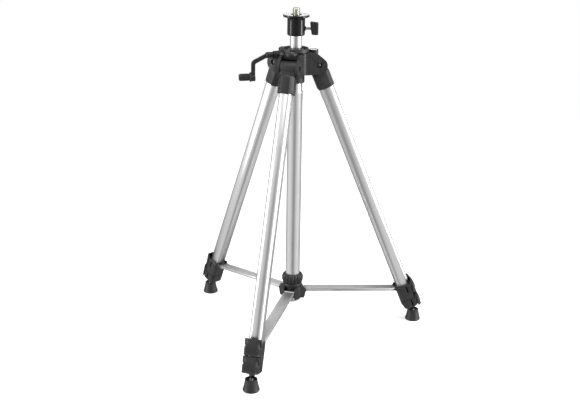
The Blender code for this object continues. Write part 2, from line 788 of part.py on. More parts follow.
def lock_lever():
    """Curved flip lever; local origin on its pin, hanging along local -Z."""
    reach = LEVER_BULGE - LEVER_PIN_X
    outer = []
    inner = []
    for k in range(6):
        t = k / 5
        z = -LEVER_LENGTH * t
        bow = sin(pi * min(1.0, t * 1.15)) * reach
        flare = 0.5 if k == 5 else 0.0
        outer.append((1.6 + bow + flare, z))
        inner.append((-1.3 + bow * 0.62 + 0.9 * t, z))
    knuckle = arc((0.0, 0.0), 2.1, 150, 20, 3)
    plate = side_prism([(-1.3, 0.0)] + knuckle + outer[1:] + inner[:0:-1], EAR_HALF - 0.4)
    wide = [(x - 0.3, z + 0.4) for x, z in outer[3:]]
    wide += [(x + 0.3, z + 0.4) for x, z in inner[:2:-1]]
    pin = cylinder(1.3, -LOCK_HALF - 0.2, LOCK_HALF + 0.2, 8, along_y())
    return join(plate, side_prism(wide, LEVER_HALF), pin)


def ball_stem():
    """Plug in the lower tube with the foot's ball on a short stem."""
    half_x = TUBE_HALF[0] - 2 * TUBE_STEP
    half_y = TUBE_HALF[1] - 2 * TUBE_STEP
    shrink = TUBE_WALL + GAP
    ball_u = ball_station()
    end = LOWER_TUBE[1]
    plug = prism(oval(half_x - shrink, half_y - shrink), -end - 1.0, -end + 15.0)
    cap = prism(oval(half_x, half_y), -end - 3.4, -end - GAP)
    neck = [(0.0, -end - 2.0), (6.0, -end - 2.0), (6.0, -end - 4.0), (3.2, -end - 6.0)]
    ball = arc((0.0, -ball_u), BALL_R, 52, -90, 6)
    profile = neck + [(max(0.0, r), z) for r, z in ball]
    return join(plug, cap, turned(profile, 10))


def ball_station():
    """Distance down the leg from the pivot to the foot's ball."""
    return hypot(FOOT_R - PIVOT_R, PIVOT_Z - BALL_Z)


def rubber_foot():
    """Conical rubber foot, open at the top round the ball; local origin on the ball."""
    low = -BALL_Z
    rim = FOOT_HEIGHT - BALL_Z
    profile = [(0.0, low), (FOOT_BASE_R - 1.2, low), (FOOT_BASE_R, low + 1.4), (FOOT_BASE_R, low + 3.2)]
    profile += [(FOOT_TOP_R + 1.4, rim - 4.5), (FOOT_TOP_R + 0.2, rim - 1.0), (FOOT_TOP_R - 0.7, rim)]
    profile += [(FOOT_TOP_R - 1.8, rim), (BALL_R + 0.9, 0.6), (BALL_R + GAP + 0.1, -1.0)]
    cup = arc((0.0, 0.0), BALL_R + GAP + 0.1, -20, -90, 3)
    profile += [(max(0.0, r), z) for r, z in cup]
    return turned(profile, 16)


# ---------------------------------------------------------------- assembly


def build_centre(axis):
    put_object("hub_body", hub_body(), "black_nylon", axis)
    put_object("hub_collar", hub_collar(), "black_nylon", axis)
    bubble = put_empty("bubble_place", spin_z(LEG_AZIMUTHS[1]) @ place(BUBBLE_PLACE), axis)
    put_object("bubble_housing", bubble_housing(), "black_nylon", bubble)
    put_object("bubble_vial", bubble_vial(), "vial", bubble)
    put_object("column_bush", column_bush(), "black_nylon", axis)
    put_object("guide_tube", guide_tube(), "aluminium", axis)
    put_object("centre_tube", centre_tube(), "aluminium", axis)
    put_object("lock_ring", lock_ring(), "black_nylon", axis)
    put_object("spreader_hub", spreader_hub(), "black_nylon", axis)


def build_column(axis):
    column = put_empty("column_axis", Matrix.Identity(4), axis)
    put_object("column_tube", column_tube(), "aluminium", column)
    put_object("column_rack", column_rack(), "steel", column)
    put_object("head_sleeve", head_sleeve(), "gloss_black", column)
    put_object("head_stud", head_stud(), "steel", column)
    screw = put_empty("head_screw_axis", spin_z(SCREW_AZIMUTH) @ place(0.0, 0.0, SCREW_Z), column)
    put_object("head_screw", head_screw(), "steel", screw)
    put_object("head_knob", head_knob(), "black_nylon", screw)


def build_crank(axis):
    shaft = put_empty("crank_axis", crank_matrix(), axis)
    put_object("pinion_shaft", pinion_shaft(), "steel", shaft)
    put_object("crank_arm", crank_arm(), "black_nylon", shaft)
    put_object("crank_grip", crank_grip(), "black_nylon", shaft)


def leg_pieces():
    """The meshes that the three legs share."""
    return {
        "leg_socket": (leg_socket(), "black_nylon"),
        "pivot_bolt": (pivot_bolt(), "steel"),
        "upper_tube": (leg_tube(0, UPPER_TUBE), "aluminium"),
        "upper_lock": (lock_body(0, UPPER_LOCK), "black_nylon"),
        "middle_tube": (leg_tube(1, MIDDLE_TUBE), "aluminium"),
        "lower_lock": (lock_body(1, LOWER_LOCK), "black_nylon"),
        "lower_tube": (leg_tube(2, LOWER_TUBE), "aluminium"),
        "ball_stem": (ball_stem(), "steel"),
    }


def build_legs(axis):
    pieces = leg_pieces()
    lever = lock_lever()
    foot = rubber_foot()
    link = strut_link()
    strut = strut_bar()
    tilt = Matrix.Rotation(radians(-LEG_TILT), 4, "Y")
    for name, azimuth in zip(LEG_NAMES, LEG_AZIMUTHS):
        turn = spin_z(azimuth)
        pivot = turn @ place(PIVOT_R, 0.0, PIVOT_Z)
        leg = put_empty("leg_axis_" + name, pivot @ tilt, axis)
        for piece, (mesh, finish) in pieces.items():
            put_object(piece + "_" + name, mesh, finish, leg)
        for kind, station in zip(("upper", "lower"), LEVER_PINS):
            place_lever = place(LEVER_PIN_X, 0.0, -station)
            put_object(kind + "_lever_" + name, lever, "black_nylon", leg, place_lever)
        ball = turn @ place(FOOT_R, 0.0, BALL_Z) @ spin_z(-azimuth)
        put_object("foot_" + name, foot, "rubber", axis, ball)
        build_strut(axis, name, turn, link, strut)


def build_strut(axis, name, turn, link, strut):
    tilt = radians(LEG_TILT)
    lug_r = PIVOT_R + LUG_STATION * sin(tilt) - LUG_OFFSET * cos(tilt)
    lug_z = PIVOT_Z - LUG_STATION * cos(tilt) - LUG_OFFSET * sin(tilt)
    slope = Matrix.Rotation(atan2(SPREADER_Z - lug_z, lug_r - SPREADER_R), 4, "Y")
    inner = turn @ place(SPREADER_R, 0.0, SPREADER_Z) @ slope
    outer = turn @ place(lug_r, 0.0, lug_z) @ slope
    put_object("strut_link_" + name, link, "aluminium", axis, inner)
    put_object("strut_" + name, strut, "aluminium", axis, outer)


def main():
    for thing in list(bpy.data.objects):
        bpy.data.objects.remove(thing)
    for name in FINISHES:
        make_material(name)
    axis = put_empty("tripod_axis", place(0.0, AXIS_Y, 0.0))
    build_centre(axis)
    build_column(axis)
    build_crank(axis)
    build_legs(axis)
    bpy.context.view_layer.update()


main()
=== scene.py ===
from math import atan2, cos, hypot, pi, radians, sin

import bmesh
import bpy
from mathutils import Matrix, Vector


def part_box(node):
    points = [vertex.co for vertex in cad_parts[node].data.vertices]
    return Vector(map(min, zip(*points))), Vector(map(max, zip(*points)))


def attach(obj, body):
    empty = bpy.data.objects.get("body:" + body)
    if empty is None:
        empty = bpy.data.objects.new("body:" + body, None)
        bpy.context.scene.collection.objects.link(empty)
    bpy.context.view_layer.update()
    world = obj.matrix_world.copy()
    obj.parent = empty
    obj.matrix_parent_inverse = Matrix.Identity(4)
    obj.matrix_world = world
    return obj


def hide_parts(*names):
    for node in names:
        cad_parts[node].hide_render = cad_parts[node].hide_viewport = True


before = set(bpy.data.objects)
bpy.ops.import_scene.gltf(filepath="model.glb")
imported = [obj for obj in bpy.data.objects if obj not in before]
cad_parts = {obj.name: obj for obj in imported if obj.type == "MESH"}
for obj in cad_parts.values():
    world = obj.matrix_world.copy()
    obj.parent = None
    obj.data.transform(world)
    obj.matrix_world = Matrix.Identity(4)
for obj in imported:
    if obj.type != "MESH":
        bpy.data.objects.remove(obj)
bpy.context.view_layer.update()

MM = 0.001

# ------------------------------------------------------------------ studio
# The tripod stands in a white product studio: a pale floor, two tall strips at its sides,
# a broad panel on the right, a top and a rear light. The surroundings are darker in front
# and behind, which draws the dark core line and the edges on the round aluminium tubes.

low_corner, high_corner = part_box("centre_tube")
axis_x = (low_corner.x + high_corner.x) / 2
axis_y = (low_corner.y + high_corner.y) / 2
AXIS = Matrix.Translation((axis_x, axis_y, 0.0))

camera_data = bpy.data.cameras.new("view")
camera_data.lens = 65.82
camera_data.sensor_width = 36.0
camera_data.clip_end = 50.0
camera = bpy.data.objects.new("view", camera_data)
bpy.context.collection.objects.link(camera)
camera_place = Matrix.Translation((0.6324, -2.1880, 1.1149))
heading_angle = radians(16.327)
heading = Matrix.Rotation(heading_angle, 4, "Z")
tilt_down = Matrix.Rotation(radians(70.886), 4, "X")
roll = Matrix.Rotation(radians(0.771), 4, "Z")
camera.matrix_world = AXIS @ camera_place @ heading @ tilt_down @ roll
bpy.context.scene.camera = camera

bpy.context.scene.view_settings.view_transform = "Standard"
world = bpy.data.worlds.new("studio")
bpy.context.scene.world = world
world.use_nodes = True
sky = world.node_tree
sky.nodes.clear()
sky_out = sky.nodes.new("ShaderNodeOutputWorld")
backdrop = sky.nodes.new("ShaderNodeBackground")
backdrop.inputs["Color"].default_value = (1.0, 1.0, 1.0, 1.0)
fill = sky.nodes.new("ShaderNodeBackground")
fill.inputs["Strength"].default_value = 0.72
sees = sky.nodes.new("ShaderNodeLightPath")
pick = sky.nodes.new("ShaderNodeMixShader")
where = sky.nodes.new("ShaderNodeTexCoord")
turned_sky = sky.nodes.new("ShaderNodeMapping")
turned_sky.inputs["Rotation"].default_value = (0.0, 0.0, -heading_angle)
split = sky.nodes.new("ShaderNodeSeparateXYZ")
toward_view, round_angle, either_side, half_turns = [sky.nodes.new("ShaderNodeMath") for step in range(4)]
toward_view.operation = "MULTIPLY"
toward_view.inputs[1].default_value = -1.0
round_angle.operation = "ARCTAN2"
either_side.operation = "ABSOLUTE"
half_turns.operation = "DIVIDE"
half_turns.inputs[1].default_value = pi
cards = sky.nodes.new("ShaderNodeValToRGB")
for place, grey in ((0.07, 0.40), (0.19, 1.0), (0.60, 1.0), (0.76, 0.42)):
    card = cards.color_ramp.elements.new(place)
    card.color = (grey, grey, grey, 1.0)
cards.color_ramp.elements.remove(cards.color_ramp.elements[0])
cards.color_ramp.elements.remove(cards.color_ramp.elements[-1])
sky.links.new(where.outputs["Generated"], turned_sky.inputs["Vector"])
sky.links.new(turned_sky.outputs["Vector"], split.inputs["Vector"])
sky.links.new(split.outputs["Y"], toward_view.inputs[0])
sky.links.new(split.outputs["X"], round_angle.inputs[0])
sky.links.new(toward_view.outputs["Value"], round_angle.inputs[1])
sky.links.new(round_angle.outputs["Value"], either_side.inputs[0])
sky.links.new(either_side.outputs["Value"], half_turns.inputs[0])
sky.links.new(half_turns.outputs["Value"], cards.inputs["Fac"])
sky.links.new(cards.outputs["Color"], fill.inputs["Color"])
sky.links.new(sees.outputs["Is Camera Ray"], pick.inputs["Fac"])
sky.links.new(fill.outputs["Background"], pick.inputs[1])
sky.links.new(backdrop.outputs["Background"], pick.inputs[2])
sky.links.new(pick.outputs["Shader"], sky_out.inputs["Surface"])

# name, turn from the camera's side, distance, height, height aimed at, width, tallness, watts
for light_name, turn, distance, height, aim_z, width, tall, power in (
    ("left_strip", -74.0, 2.4, 1.0, 0.5, 0.42, 2.6, 46.0),
    ("right_strip", 74.0, 2.4, 1.0, 0.5, 0.36, 2.6, 42.0),
    ("right_panel", 86.0, 2.5, 1.0, 0.5, 1.7, 2.4, 30.0),
    ("top_box", 20.0, 0.6, 3.2, 0.2, 2.4, 2.4, 36.0),
    ("rear_box", 180.0, 2.6, 1.2, 0.75, 1.2, 0.55, 5.0),
):
    light_data = bpy.data.lights.new(light_name, "AREA")
    light_data.shape = "RECTANGLE"
    light_data.size = width
    light_data.size_y = tall
    light_data.energy = power
    light = bpy.data.objects.new(light_name, light_data)
    bpy.context.collection.objects.link(light)
    toward = heading_angle - pi / 2 + radians(turn)
    light.location = (axis_x + distance * cos(toward), axis_y + distance * sin(toward), height)
    aim = Vector((axis_x, axis_y, aim_z)) - light.location
    light.rotation_euler = aim.to_track_quat("-Z", "Y").to_euler()

floor_mesh = bpy.data.meshes.new("floor")
FLOOR_HALF = 2.3
floor_corners = [(FLOOR_HALF * x, FLOOR_HALF * y, 0) for x, y in ((-1, -1), (1, -1), (1, 1), (-1, 1))]
floor_mesh.from_pydata(floor_corners, [], [(0, 1, 2, 3)])
floor = bpy.data.objects.new("floor", floor_mesh)
floor.location.z = -0.0002
floor.visible_glossy = False
bpy.context.collection.objects.link(floor)
floor_paint = bpy.data.materials.new("floor_paint")
floor_paint.use_nodes = True
floor_shader = floor_paint.node_tree.nodes["Principled BSDF"]
floor_shader.inputs["Base Color"].default_value = (0.86, 0.86, 0.86, 1.0)
floor_shader.inputs["Roughness"].default_value = 0.9
floor_shader.inputs["Specular IOR Level"].default_value = 0.1
floor_shader.inputs["Emission Color"].default_value = (1.0, 1.0, 1.0, 1.0)
floor_shader.inputs["Emission Strength"].default_value = 0.5
floor_mesh.materials.append(floor_paint)

# ------------------------------------------------------------------ elevator column
# Anodised aluminium tube, 26 mm across, that rises out of the hub. It is drawn tube
# with a milled slot at the back for the steel rack that the crank's pinion drives.


def spin_z(angle):
    return Matrix.Rotation(radians(angle), 4, "Z")


def shift(x=0.0, y=0.0, z=0.0):
    return Matrix.Translation(Vector((x, y, z)) * MM)


def along_x(y=0.0, z=0.0):
    return shift(0.0, y, z) @ Matrix.Rotation(radians(90), 4, "Y")


def along_y(x=0.0, z=0.0):
    return shift(x, 0.0, z) @ Matrix.Rotation(radians(90), 4, "X")


def to_mesh(bm, smooth=35.0):
    """Close a bmesh held in millimetres into a metre mesh with its faces out."""
    bmesh.ops.remove_doubles(bm, verts=bm.verts, dist=0.0005)
    bmesh.ops.recalc_face_normals(bm, faces=bm.faces)
    for vert in bm.verts:
        vert.co *= MM
    mesh = bpy.data.meshes.new("shape")
    bm.to_mesh(mesh)
    bm.free()
    mesh.shade_smooth()
    mesh.set_sharp_from_angle(angle=radians(smooth))
    return mesh


def loft(rings, matrix=None, hollow=False, smooth=35.0):
    """Skin through rings of equal length. Its UV runs round (u) and along (v), in metres."""
    bm = bmesh.new()
    run = bm.loops.layers.uv.new("run")
    loops = [[bm.verts.new(point) for point in ring] for ring in rings]
    count = len(loops[0])
    round_at = [0.0]
    for i in range(count):
        step = (Vector(rings[0][i]) - Vector(rings[0][(i + 1) % count])).length
        round_at.append(round_at[-1] + step * MM)
    along_at = [0.0]
    for lower, upper in zip(rings, rings[1:]):
        along_at.append(along_at[-1] + (Vector(lower[0]) - Vector(upper[0])).length * MM)
    for k in range(len(loops) - 1):
        for i in range(count):
            j = (i + 1) % count
            face = bm.faces.new((loops[k][i], loops[k][j], loops[k + 1][j], loops[k + 1][i]))
            at = ((i, k), (i + 1, k), (i + 1, k + 1), (i, k + 1))
            for loop, (a, b) in zip(face.loops, at):
                loop[run].uv = (round_at[a], along_at[b])
    if hollow:
        for i in range(count):
            j = (i + 1) % count
            bm.faces.new((loops[-1][i], loops[-1][j], loops[0][j], loops[0][i]))
    else:
        bm.faces.new(loops[0][::-1])
        bm.faces.new(loops[-1])
    mesh = to_mesh(bm, smooth)
    if matrix:
        mesh.transform(matrix)
    return mesh


def round_ring(radius, z, steps=72):
    return [(radius * cos(2 * pi * k / steps), radius * sin(2 * pi * k / steps), z) for k in range(steps)]


def turned(profile, steps=96, matrix=None, smooth=35.0):
    """Spin a closed (radius, z) profile round local Z."""
    rings = []
    for k in range(steps):
        a = 2 * pi * k / steps
        rings.append([(r * cos(a), r * sin(a), z) for r, z in profile])
    bm = bmesh.new()
    run = bm.loops.layers.uv.new("run")
    loops = [[bm.verts.new(point) for point in ring] for ring in rings]
    count = len(profile)
    along_at = [0.0]
    for i in range(count):
        a = Vector(profile[i])
        along_at.append(along_at[-1] + (a - Vector(profile[(i + 1) % count])).length * MM)
    for k in range(steps):
        after = loops[(k + 1) % steps]
        for i in range(count):
            j = (i + 1) % count
            if profile[i][0] < 1e-6 and profile[j][0] < 1e-6:
                continue
            face = bm.faces.new((loops[k][i], loops[k][j], after[j], after[i]))
            reach = 2 * pi * max(profile[i][0], profile[j][0]) * MM / steps
            for loop, (a, b) in zip(face.loops, ((k, i), (k, i + 1), (k + 1, i + 1), (k + 1, i))):
                loop[run].uv = (a * reach, along_at[b])
    mesh = to_mesh(bm, smooth)
    if matrix:
        mesh.transform(matrix)
    return mesh


def material_nodes(name):
    """A new material with its shader, and Object coordinates ready to use."""
    material = bpy.data.materials.new(name)
    material.use_nodes = True
    tree = material.node_tree
    return material, tree, tree.nodes["Principled BSDF"], tree.nodes.new("ShaderNodeTexCoord")


def noise_node(tree, vector, scale, detail=4.0, roughness=0.55):
    noise = tree.nodes.new("ShaderNodeTexNoise")
    noise.inputs["Scale"].default_value = scale
    noise.inputs["Detail"].default_value = detail
    noise.inputs["Roughness"].default_value = roughness
    tree.links.new(vector, noise.inputs["Vector"])
    return noise


def ramp_node(tree, factor, low, high, start=0.3, end=0.7):
    ramp = tree.nodes.new("ShaderNodeValToRGB")
    ramp.color_ramp.elements[0].position = start
    ramp.color_ramp.elements[0].color = (*low, 1.0) if hasattr(low, "__len__") else (low, low, low, 1.0)
    ramp.color_ramp.elements[1].position = end
    ramp.color_ramp.elements[1].color = (*high, 1.0) if hasattr(high, "__len__") else (high, high, high, 1.0)
    tree.links.new(factor, ramp.inputs["Fac"])
    return ramp


def feed(tree, shader, socket, factor, low, high, start=0.3, end=0.7):
    """Run a pattern through a ramp into one socket of the shader."""
    ramp = ramp_node(tree, factor, low, high, start, end)
    tree.links.new(ramp.outputs["Color"], shader.inputs[socket])


def bump_node(tree, shader, height, strength, distance):
    bump = tree.nodes.new("ShaderNodeBump")
    bump.inputs["Strength"].default_value = strength
    bump.inputs["Distance"].default_value = distance
    tree.links.new(height, bump.inputs["Height"])
    tree.links.new(bump.outputs["Normal"], shader.inputs["Normal"])
    return bump


def drawn_aluminium(name, tone=0.83, rough=0.30):
    """Satin anodised tube: fine drawing lines along the tube, and faint handling marks."""
    material, tree, shader, coord = material_nodes(name)
    shader.inputs["Metallic"].default_value = 1.0
    lines = tree.nodes.new("ShaderNodeMapping")
    lines.inputs["Scale"].default_value = (5200.0, 14.0, 1.0)
    tree.links.new(coord.outputs["UV"], lines.inputs["Vector"])
    streak = noise_node(tree, lines.outputs["Vector"], 1.0, 3.0, 0.6)
    cloud = noise_node(tree, coord.outputs["Object"], 34.0, 5.0, 0.6)
    bright = (tone, tone + 0.004, tone + 0.01)
    feed(tree, shader, "Base Color", streak.outputs["Fac"], tone - 0.06, bright)
    both = tree.nodes.new("ShaderNodeMath")
    both.operation = "MULTIPLY_ADD"
    tree.links.new(cloud.outputs["Fac"], both.inputs[0])
    both.inputs[1].default_value = 0.35
    tree.links.new(streak.outputs["Fac"], both.inputs[2])
    feed(tree, shader, "Roughness", both.outputs["Value"], rough - 0.05, rough + 0.09, 0.35, 1.0)
    bump_node(tree, shader, streak.outputs["Fac"], 0.10, 0.00004)
    return material


def add_piece(name, mesh, material, body, replaces=(), local=None):
    """Put one finished mesh in place, with its object at the origin."""
    mesh.transform(AXIS @ local if local else AXIS)
    mesh.materials.clear()
    mesh.materials.append(material)
    mesh.name = name
    thing = bpy.data.objects.new(name, mesh)
    bpy.context.collection.objects.link(thing)
    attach(thing, body)
    if replaces:
        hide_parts(*replaces)
    return thing


COLUMN_R = 13.0
SLOT_AZIMUTH = 120.0
SLOT_HALF_ANGLE = 16.5
COLUMN_POINTS = 88
column_aluminium = drawn_aluminium("column_aluminium", 0.86, 0.26)
column_skin = []
for radius, z in ((COLUMN_R - 0.5, 300.0), (COLUMN_R, 300.6), (COLUMN_R, 737.0), (COLUMN_R - 0.5, 737.6),
                  (COLUMN_R - 2.2, 737.6), (COLUMN_R - 2.2, 300.0)):
    ring = []
    for k in range(COLUMN_POINTS):
        a = radians(SLOT_AZIMUTH + SLOT_HALF_ANGLE + (360 - 2 * SLOT_HALF_ANGLE) * k / (COLUMN_POINTS - 1))
        ring.append((radius * cos(a), radius * sin(a), z))
    column_skin.append(ring)
bm = bmesh.new()
run = bm.loops.layers.uv.new("run")
loops = [[bm.verts.new(point) for point in ring] for ring in column_skin]
for k in range(len(loops)):
    after = (k + 1) % len(loops)
    for i in range(COLUMN_POINTS - 1):
        face = bm.faces.new((loops[k][i], loops[k][i + 1], loops[after][i + 1], loops[after][i]))
        for loop, (a, b) in zip(face.loops, ((i, k), (i + 1, k), (i + 1, after), (i, after))):
            loop[run].uv = (a * 0.0009, column_skin[b][0][2] * MM)
for i in (0, COLUMN_POINTS - 1):
    bm.faces.new([ring[i] for ring in loops])
add_piece("elevator_tube", to_mesh(bm), column_aluminium, "column", ["column_tube"])


def zinc_steel(name, tone=(0.66, 0.65, 0.62), rough=0.24):
    """Zinc-plated steel: cool bright metal with faint clouding and tiny pits."""
    material, tree, shader, coord = material_nodes(name)
    shader.inputs["Metallic"].default_value = 1.0
    cloud = noise_node(tree, coord.outputs["Object"], 210.0, 5.0, 0.6)
    feed(tree, shader, "Base Color", cloud.outputs["Fac"], tuple(c * 0.86 for c in tone), tone)
    feed(tree, shader, "Roughness", cloud.outputs["Fac"], rough, rough + 0.16)
    pits = noise_node(tree, coord.outputs["Object"], 2400.0, 2.0, 0.5)
    bump_node(tree, shader, pits.outputs["Fac"], 0.12, 0.00003)
    return material


plated_steel = zinc_steel("plated_steel")
rack_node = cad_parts["column_rack"]
rack_node.data.materials.clear()
rack_node.data.materials.append(plated_steel)

# ------------------------------------------------------------------ head sleeve and flange
# One turned aluminium casting in gloss black paint: the 57 mm plate that the laser's base
# sits on, a cone under it, and the sleeve that the clamp screw holds on the column.


def gloss_paint(name):
    material, tree, shader, coord = material_nodes(name)
    shader.inputs["Specular IOR Level"].default_value = 0.36
    orange_peel = noise_node(tree, coord.outputs["Object"], 620.0, 2.0, 0.4)
    dust = noise_node(tree, coord.outputs["Object"], 60.0, 6.0, 0.65)
    feed(tree, shader, "Base Color", dust.outputs["Fac"], (0.003, 0.003, 0.0035), (0.006, 0.006, 0.0065))
    feed(tree, shader, "Roughness", dust.outputs["Fac"], 0.10, 0.20)
    bump_node(tree, shader, orange_peel.outputs["Fac"], 0.08, 0.00006)
    return material


def arc(centre, radius, start, end, steps):
    turns = [radians(start + (end - start) * k / steps) for k in range(steps + 1)]
    return [(centre[0] + radius * cos(a), centre[1] + radius * sin(a)) for a in turns]


def circle(radius, steps=48):
    return [(radius * cos(2 * pi * k / steps), radius * sin(2 * pi * k / steps)) for k in range(steps)]


def prism(outline, low, high, matrix=None):
    return loft([[(x, y, z) for x, y in outline] for z in (low, high)], matrix)


def side_prism(outline, half, matrix=None):
    return loft([[(x, y, z) for x, z in outline] for y in (half, -half)], matrix)


def cylinder(radius, low, high, steps=48, matrix=None):
    return prism(circle(radius, steps), low, high, matrix)


def box(low, high, matrix=None):
    outline = [(low[0], low[1]), (high[0], low[1]), (high[0], high[1]), (low[0], high[1])]
    return prism(outline, low[2], high[2], matrix)


def combine(mesh, others, operation):
    """Exact Boolean of meshes, left as flat faces so that a bevel can run along its edges."""
    base = bpy.data.objects.new("base", mesh)
    bpy.context.collection.objects.link(base)
    tools = []
    for other in others:
        tool = bpy.data.objects.new("tool", other)
        bpy.context.collection.objects.link(tool)
        tools.append(tool)
        modifier = base.modifiers.new("boolean", "BOOLEAN")
        modifier.operation = operation
        modifier.solver = "EXACT"
        modifier.object = tool
    bpy.context.view_layer.update()
    depsgraph = bpy.context.evaluated_depsgraph_get()
    result = bpy.data.meshes.new_from_object(base.evaluated_get(depsgraph))
    for thing in [base, *tools]:
        bpy.data.objects.remove(thing)
    bm = bmesh.new()
    bm.from_mesh(result)
    bmesh.ops.remove_doubles(bm, verts=bm.verts, dist=0.000002)
    bmesh.ops.dissolve_limit(bm, angle_limit=radians(0.6), verts=bm.verts, edges=bm.edges)
    bm.to_mesh(result)
    bm.free()
    return result


def join(mesh, *others):
    return combine(mesh, others, "UNION")


def cut(mesh, *others):
    return combine(mesh, others, "DIFFERENCE")


def soften(mesh, width=0.6, segments=3, angle=32.0):
    """Round the sharp edges, as a mould or a casting leaves them."""
    thing = bpy.data.objects.new("soft", mesh)
    bpy.context.collection.objects.link(thing)
    bevel = thing.modifiers.new("edges", "BEVEL")
    bevel.width = width * MM
    bevel.segments = segments
    bevel.limit_method = "ANGLE"
    bevel.angle_limit = radians(angle)
    bevel.use_clamp_overlap = True
    bevel.miter_outer = "MITER_ARC"
    bpy.context.view_layer.update()
    depsgraph = bpy.context.evaluated_depsgraph_get()
    result = bpy.data.meshes.new_from_object(thing.evaluated_get(depsgraph))
    bpy.data.objects.remove(thing)
    bm = bmesh.new()
    bm.from_mesh(result)
    bmesh.ops.triangulate(bm, faces=[face for face in bm.faces if len(face.verts) > 4])
    bm.to_mesh(result)
    bm.free()
    result.shade_smooth()
    result.set_sharp_from_angle(angle=radians(40))
    return result


SLEEVE_R = 19.2
FLANGE_R = 28.5
FLANGE_TOP = 747.0
sleeve_profile = [(COLUMN_R + 0.35, 702.6), (COLUMN_R + 0.9, 702.0), (SLEEVE_R - 3.4, 702.0)]
sleeve_profile += arc((SLEEVE_R - 3.4, 705.4), 3.4, -80, 0, 8)
sleeve_profile += [(SLEEVE_R, 736.5)]
sleeve_profile += [(SLEEVE_R + 0.4, 738.6), (SLEEVE_R + 1.5, 740.4), (SLEEVE_R + 3.6, 741.7)]
sleeve_profile += [(FLANGE_R - 1.6, 742.0)] + arc((FLANGE_R - 1.5, 743.5), 1.5, -80, 0, 5)
sleeve_profile += arc((FLANGE_R - 1.2, FLANGE_TOP - 1.2), 1.2, 0, 90, 5)
for groove in (26.0, 22.0, 18.0):
    sleeve_profile += [(groove + 0.35, FLANGE_TOP), (groove, FLANGE_TOP - 0.35), (groove - 0.35, FLANGE_TOP)]
sleeve_profile += [(12.6, FLANGE_TOP), (12.0, FLANGE_TOP - 0.5), (10.6, 744.0), (8.1, 744.0)]
sleeve_profile += [(8.1, 743.4), (5.0, 743.4), (5.0, 738.0), (COLUMN_R + 0.35, 738.0)]
sleeve_mesh = turned(sleeve_profile, 128)
SCREW_AZIMUTH = 16.0
SCREW_Z = 717.0
screw_turn = spin_z(SCREW_AZIMUTH) @ along_x(0.0, SCREW_Z)
black_gloss = gloss_paint("black_gloss")
add_piece("head_casting", sleeve_mesh, black_gloss, "column", ["head_sleeve"])
screw_boss = turned([(3.3, 18.2), (5.4, 18.2), (5.4, 20.2), (4.8, 20.8), (3.3, 20.8)], 40, screw_turn)
add_piece("screw_boss", screw_boss, black_gloss, "column")

# ------------------------------------------------------------------ instrument stud
# The 5/8 inch by 11 stud, machined from steel and zinc plated. Its thread is cut as one
# helix of 2.3 mm pitch that runs out at the chamfered tip.

STUD_R = 7.94
STUD_PITCH = 2.309
stud_low = 744.2
stud_high = 761.0
stud_rings = [round_ring(0.5, 738.3), round_ring(4.6, 738.3), round_ring(4.6, 744.1)]
levels = 76
for level in range(levels + 1):
    z = stud_low + (stud_high - stud_low) * level / levels
    ring = []
    for k in range(72):
        a = 2 * pi * k / 72
        phase = (z / STUD_PITCH - k / 72) % 1.0
        depth = 1.15 * min(1.0, abs(phase - 0.5) * 2.6)
        fade = min(1.0, max(0.0, (stud_high - 1.0 - z) / 2.2)) * min(1.0, (z - stud_low) / 1.2)
        chamfer = max(0.0, z - (stud_high - 1.9)) * 0.85
        radius = STUD_R - depth * fade - chamfer - 1.0 * (1 - min(1.0, (z - stud_low) / 1.0))
        ring.append((radius * cos(a), radius * sin(a), z))
    stud_rings.append(ring)
stud_rings += [round_ring(5.2, 761.6), round_ring(3.6, 761.95), round_ring(0.4, 762.0)]
stud_steel = zinc_steel("stud_steel", (0.62, 0.60, 0.55), 0.2)
add_piece("instrument_stud", loft(stud_rings, smooth=50.0), stud_steel, "column", ["head_stud"])

# ------------------------------------------------------------------ head clamp screw
# A 6 mm steel screw through the sleeve, with a moulded black wing knob pressed on it. The
# knob is a flat slab with rounded edges, and its inner edge is slanted.

shank_profile = [(0.0, 13.6), (2.2, 13.6), (2.9, 14.4)]
position = 15.0
while position < 30.0:
    shank_profile += [(2.9, position), (2.45, position + 0.45)]
    position += 0.9
shank_profile += [(2.9, 30.4), (2.9, 35.8), (0.0, 35.8)]
clamp_shank = turned(shank_profile, 40, screw_turn)
add_piece("clamp_shank", clamp_shank, plated_steel, "clamp_screw", ["head_screw"])


def glass_nylon(name, tone=0.012, rough=0.42, grain=0.22):
    """Moulded black nylon: fine spark-eroded grain, faint flow clouds and paler rubbed marks."""
    material, tree, shader, coord = material_nodes(name)
    shader.inputs["Specular IOR Level"].default_value = 0.5
    cloud = noise_node(tree, coord.outputs["Object"], 46.0, 6.0, 0.6)
    pale = (tone * 1.25, tone * 1.27, tone * 1.3)
    feed(tree, shader, "Base Color", cloud.outputs["Fac"], tone * 0.8, pale)
    grains = noise_node(tree, coord.outputs["Object"], 1700.0, 3.0, 0.6)
    mixed = tree.nodes.new("ShaderNodeMath")
    mixed.operation = "MULTIPLY_ADD"
    tree.links.new(grains.outputs["Fac"], mixed.inputs[0])
    mixed.inputs[1].default_value = 0.4
    tree.links.new(cloud.outputs["Fac"], mixed.inputs[2])
    feed(tree, shader, "Roughness", mixed.outputs["Value"], rough - 0.08, rough + 0.12, 0.35, 1.0)
    bump_node(tree, shader, grains.outputs["Fac"], grain, 0.00008)
    return material


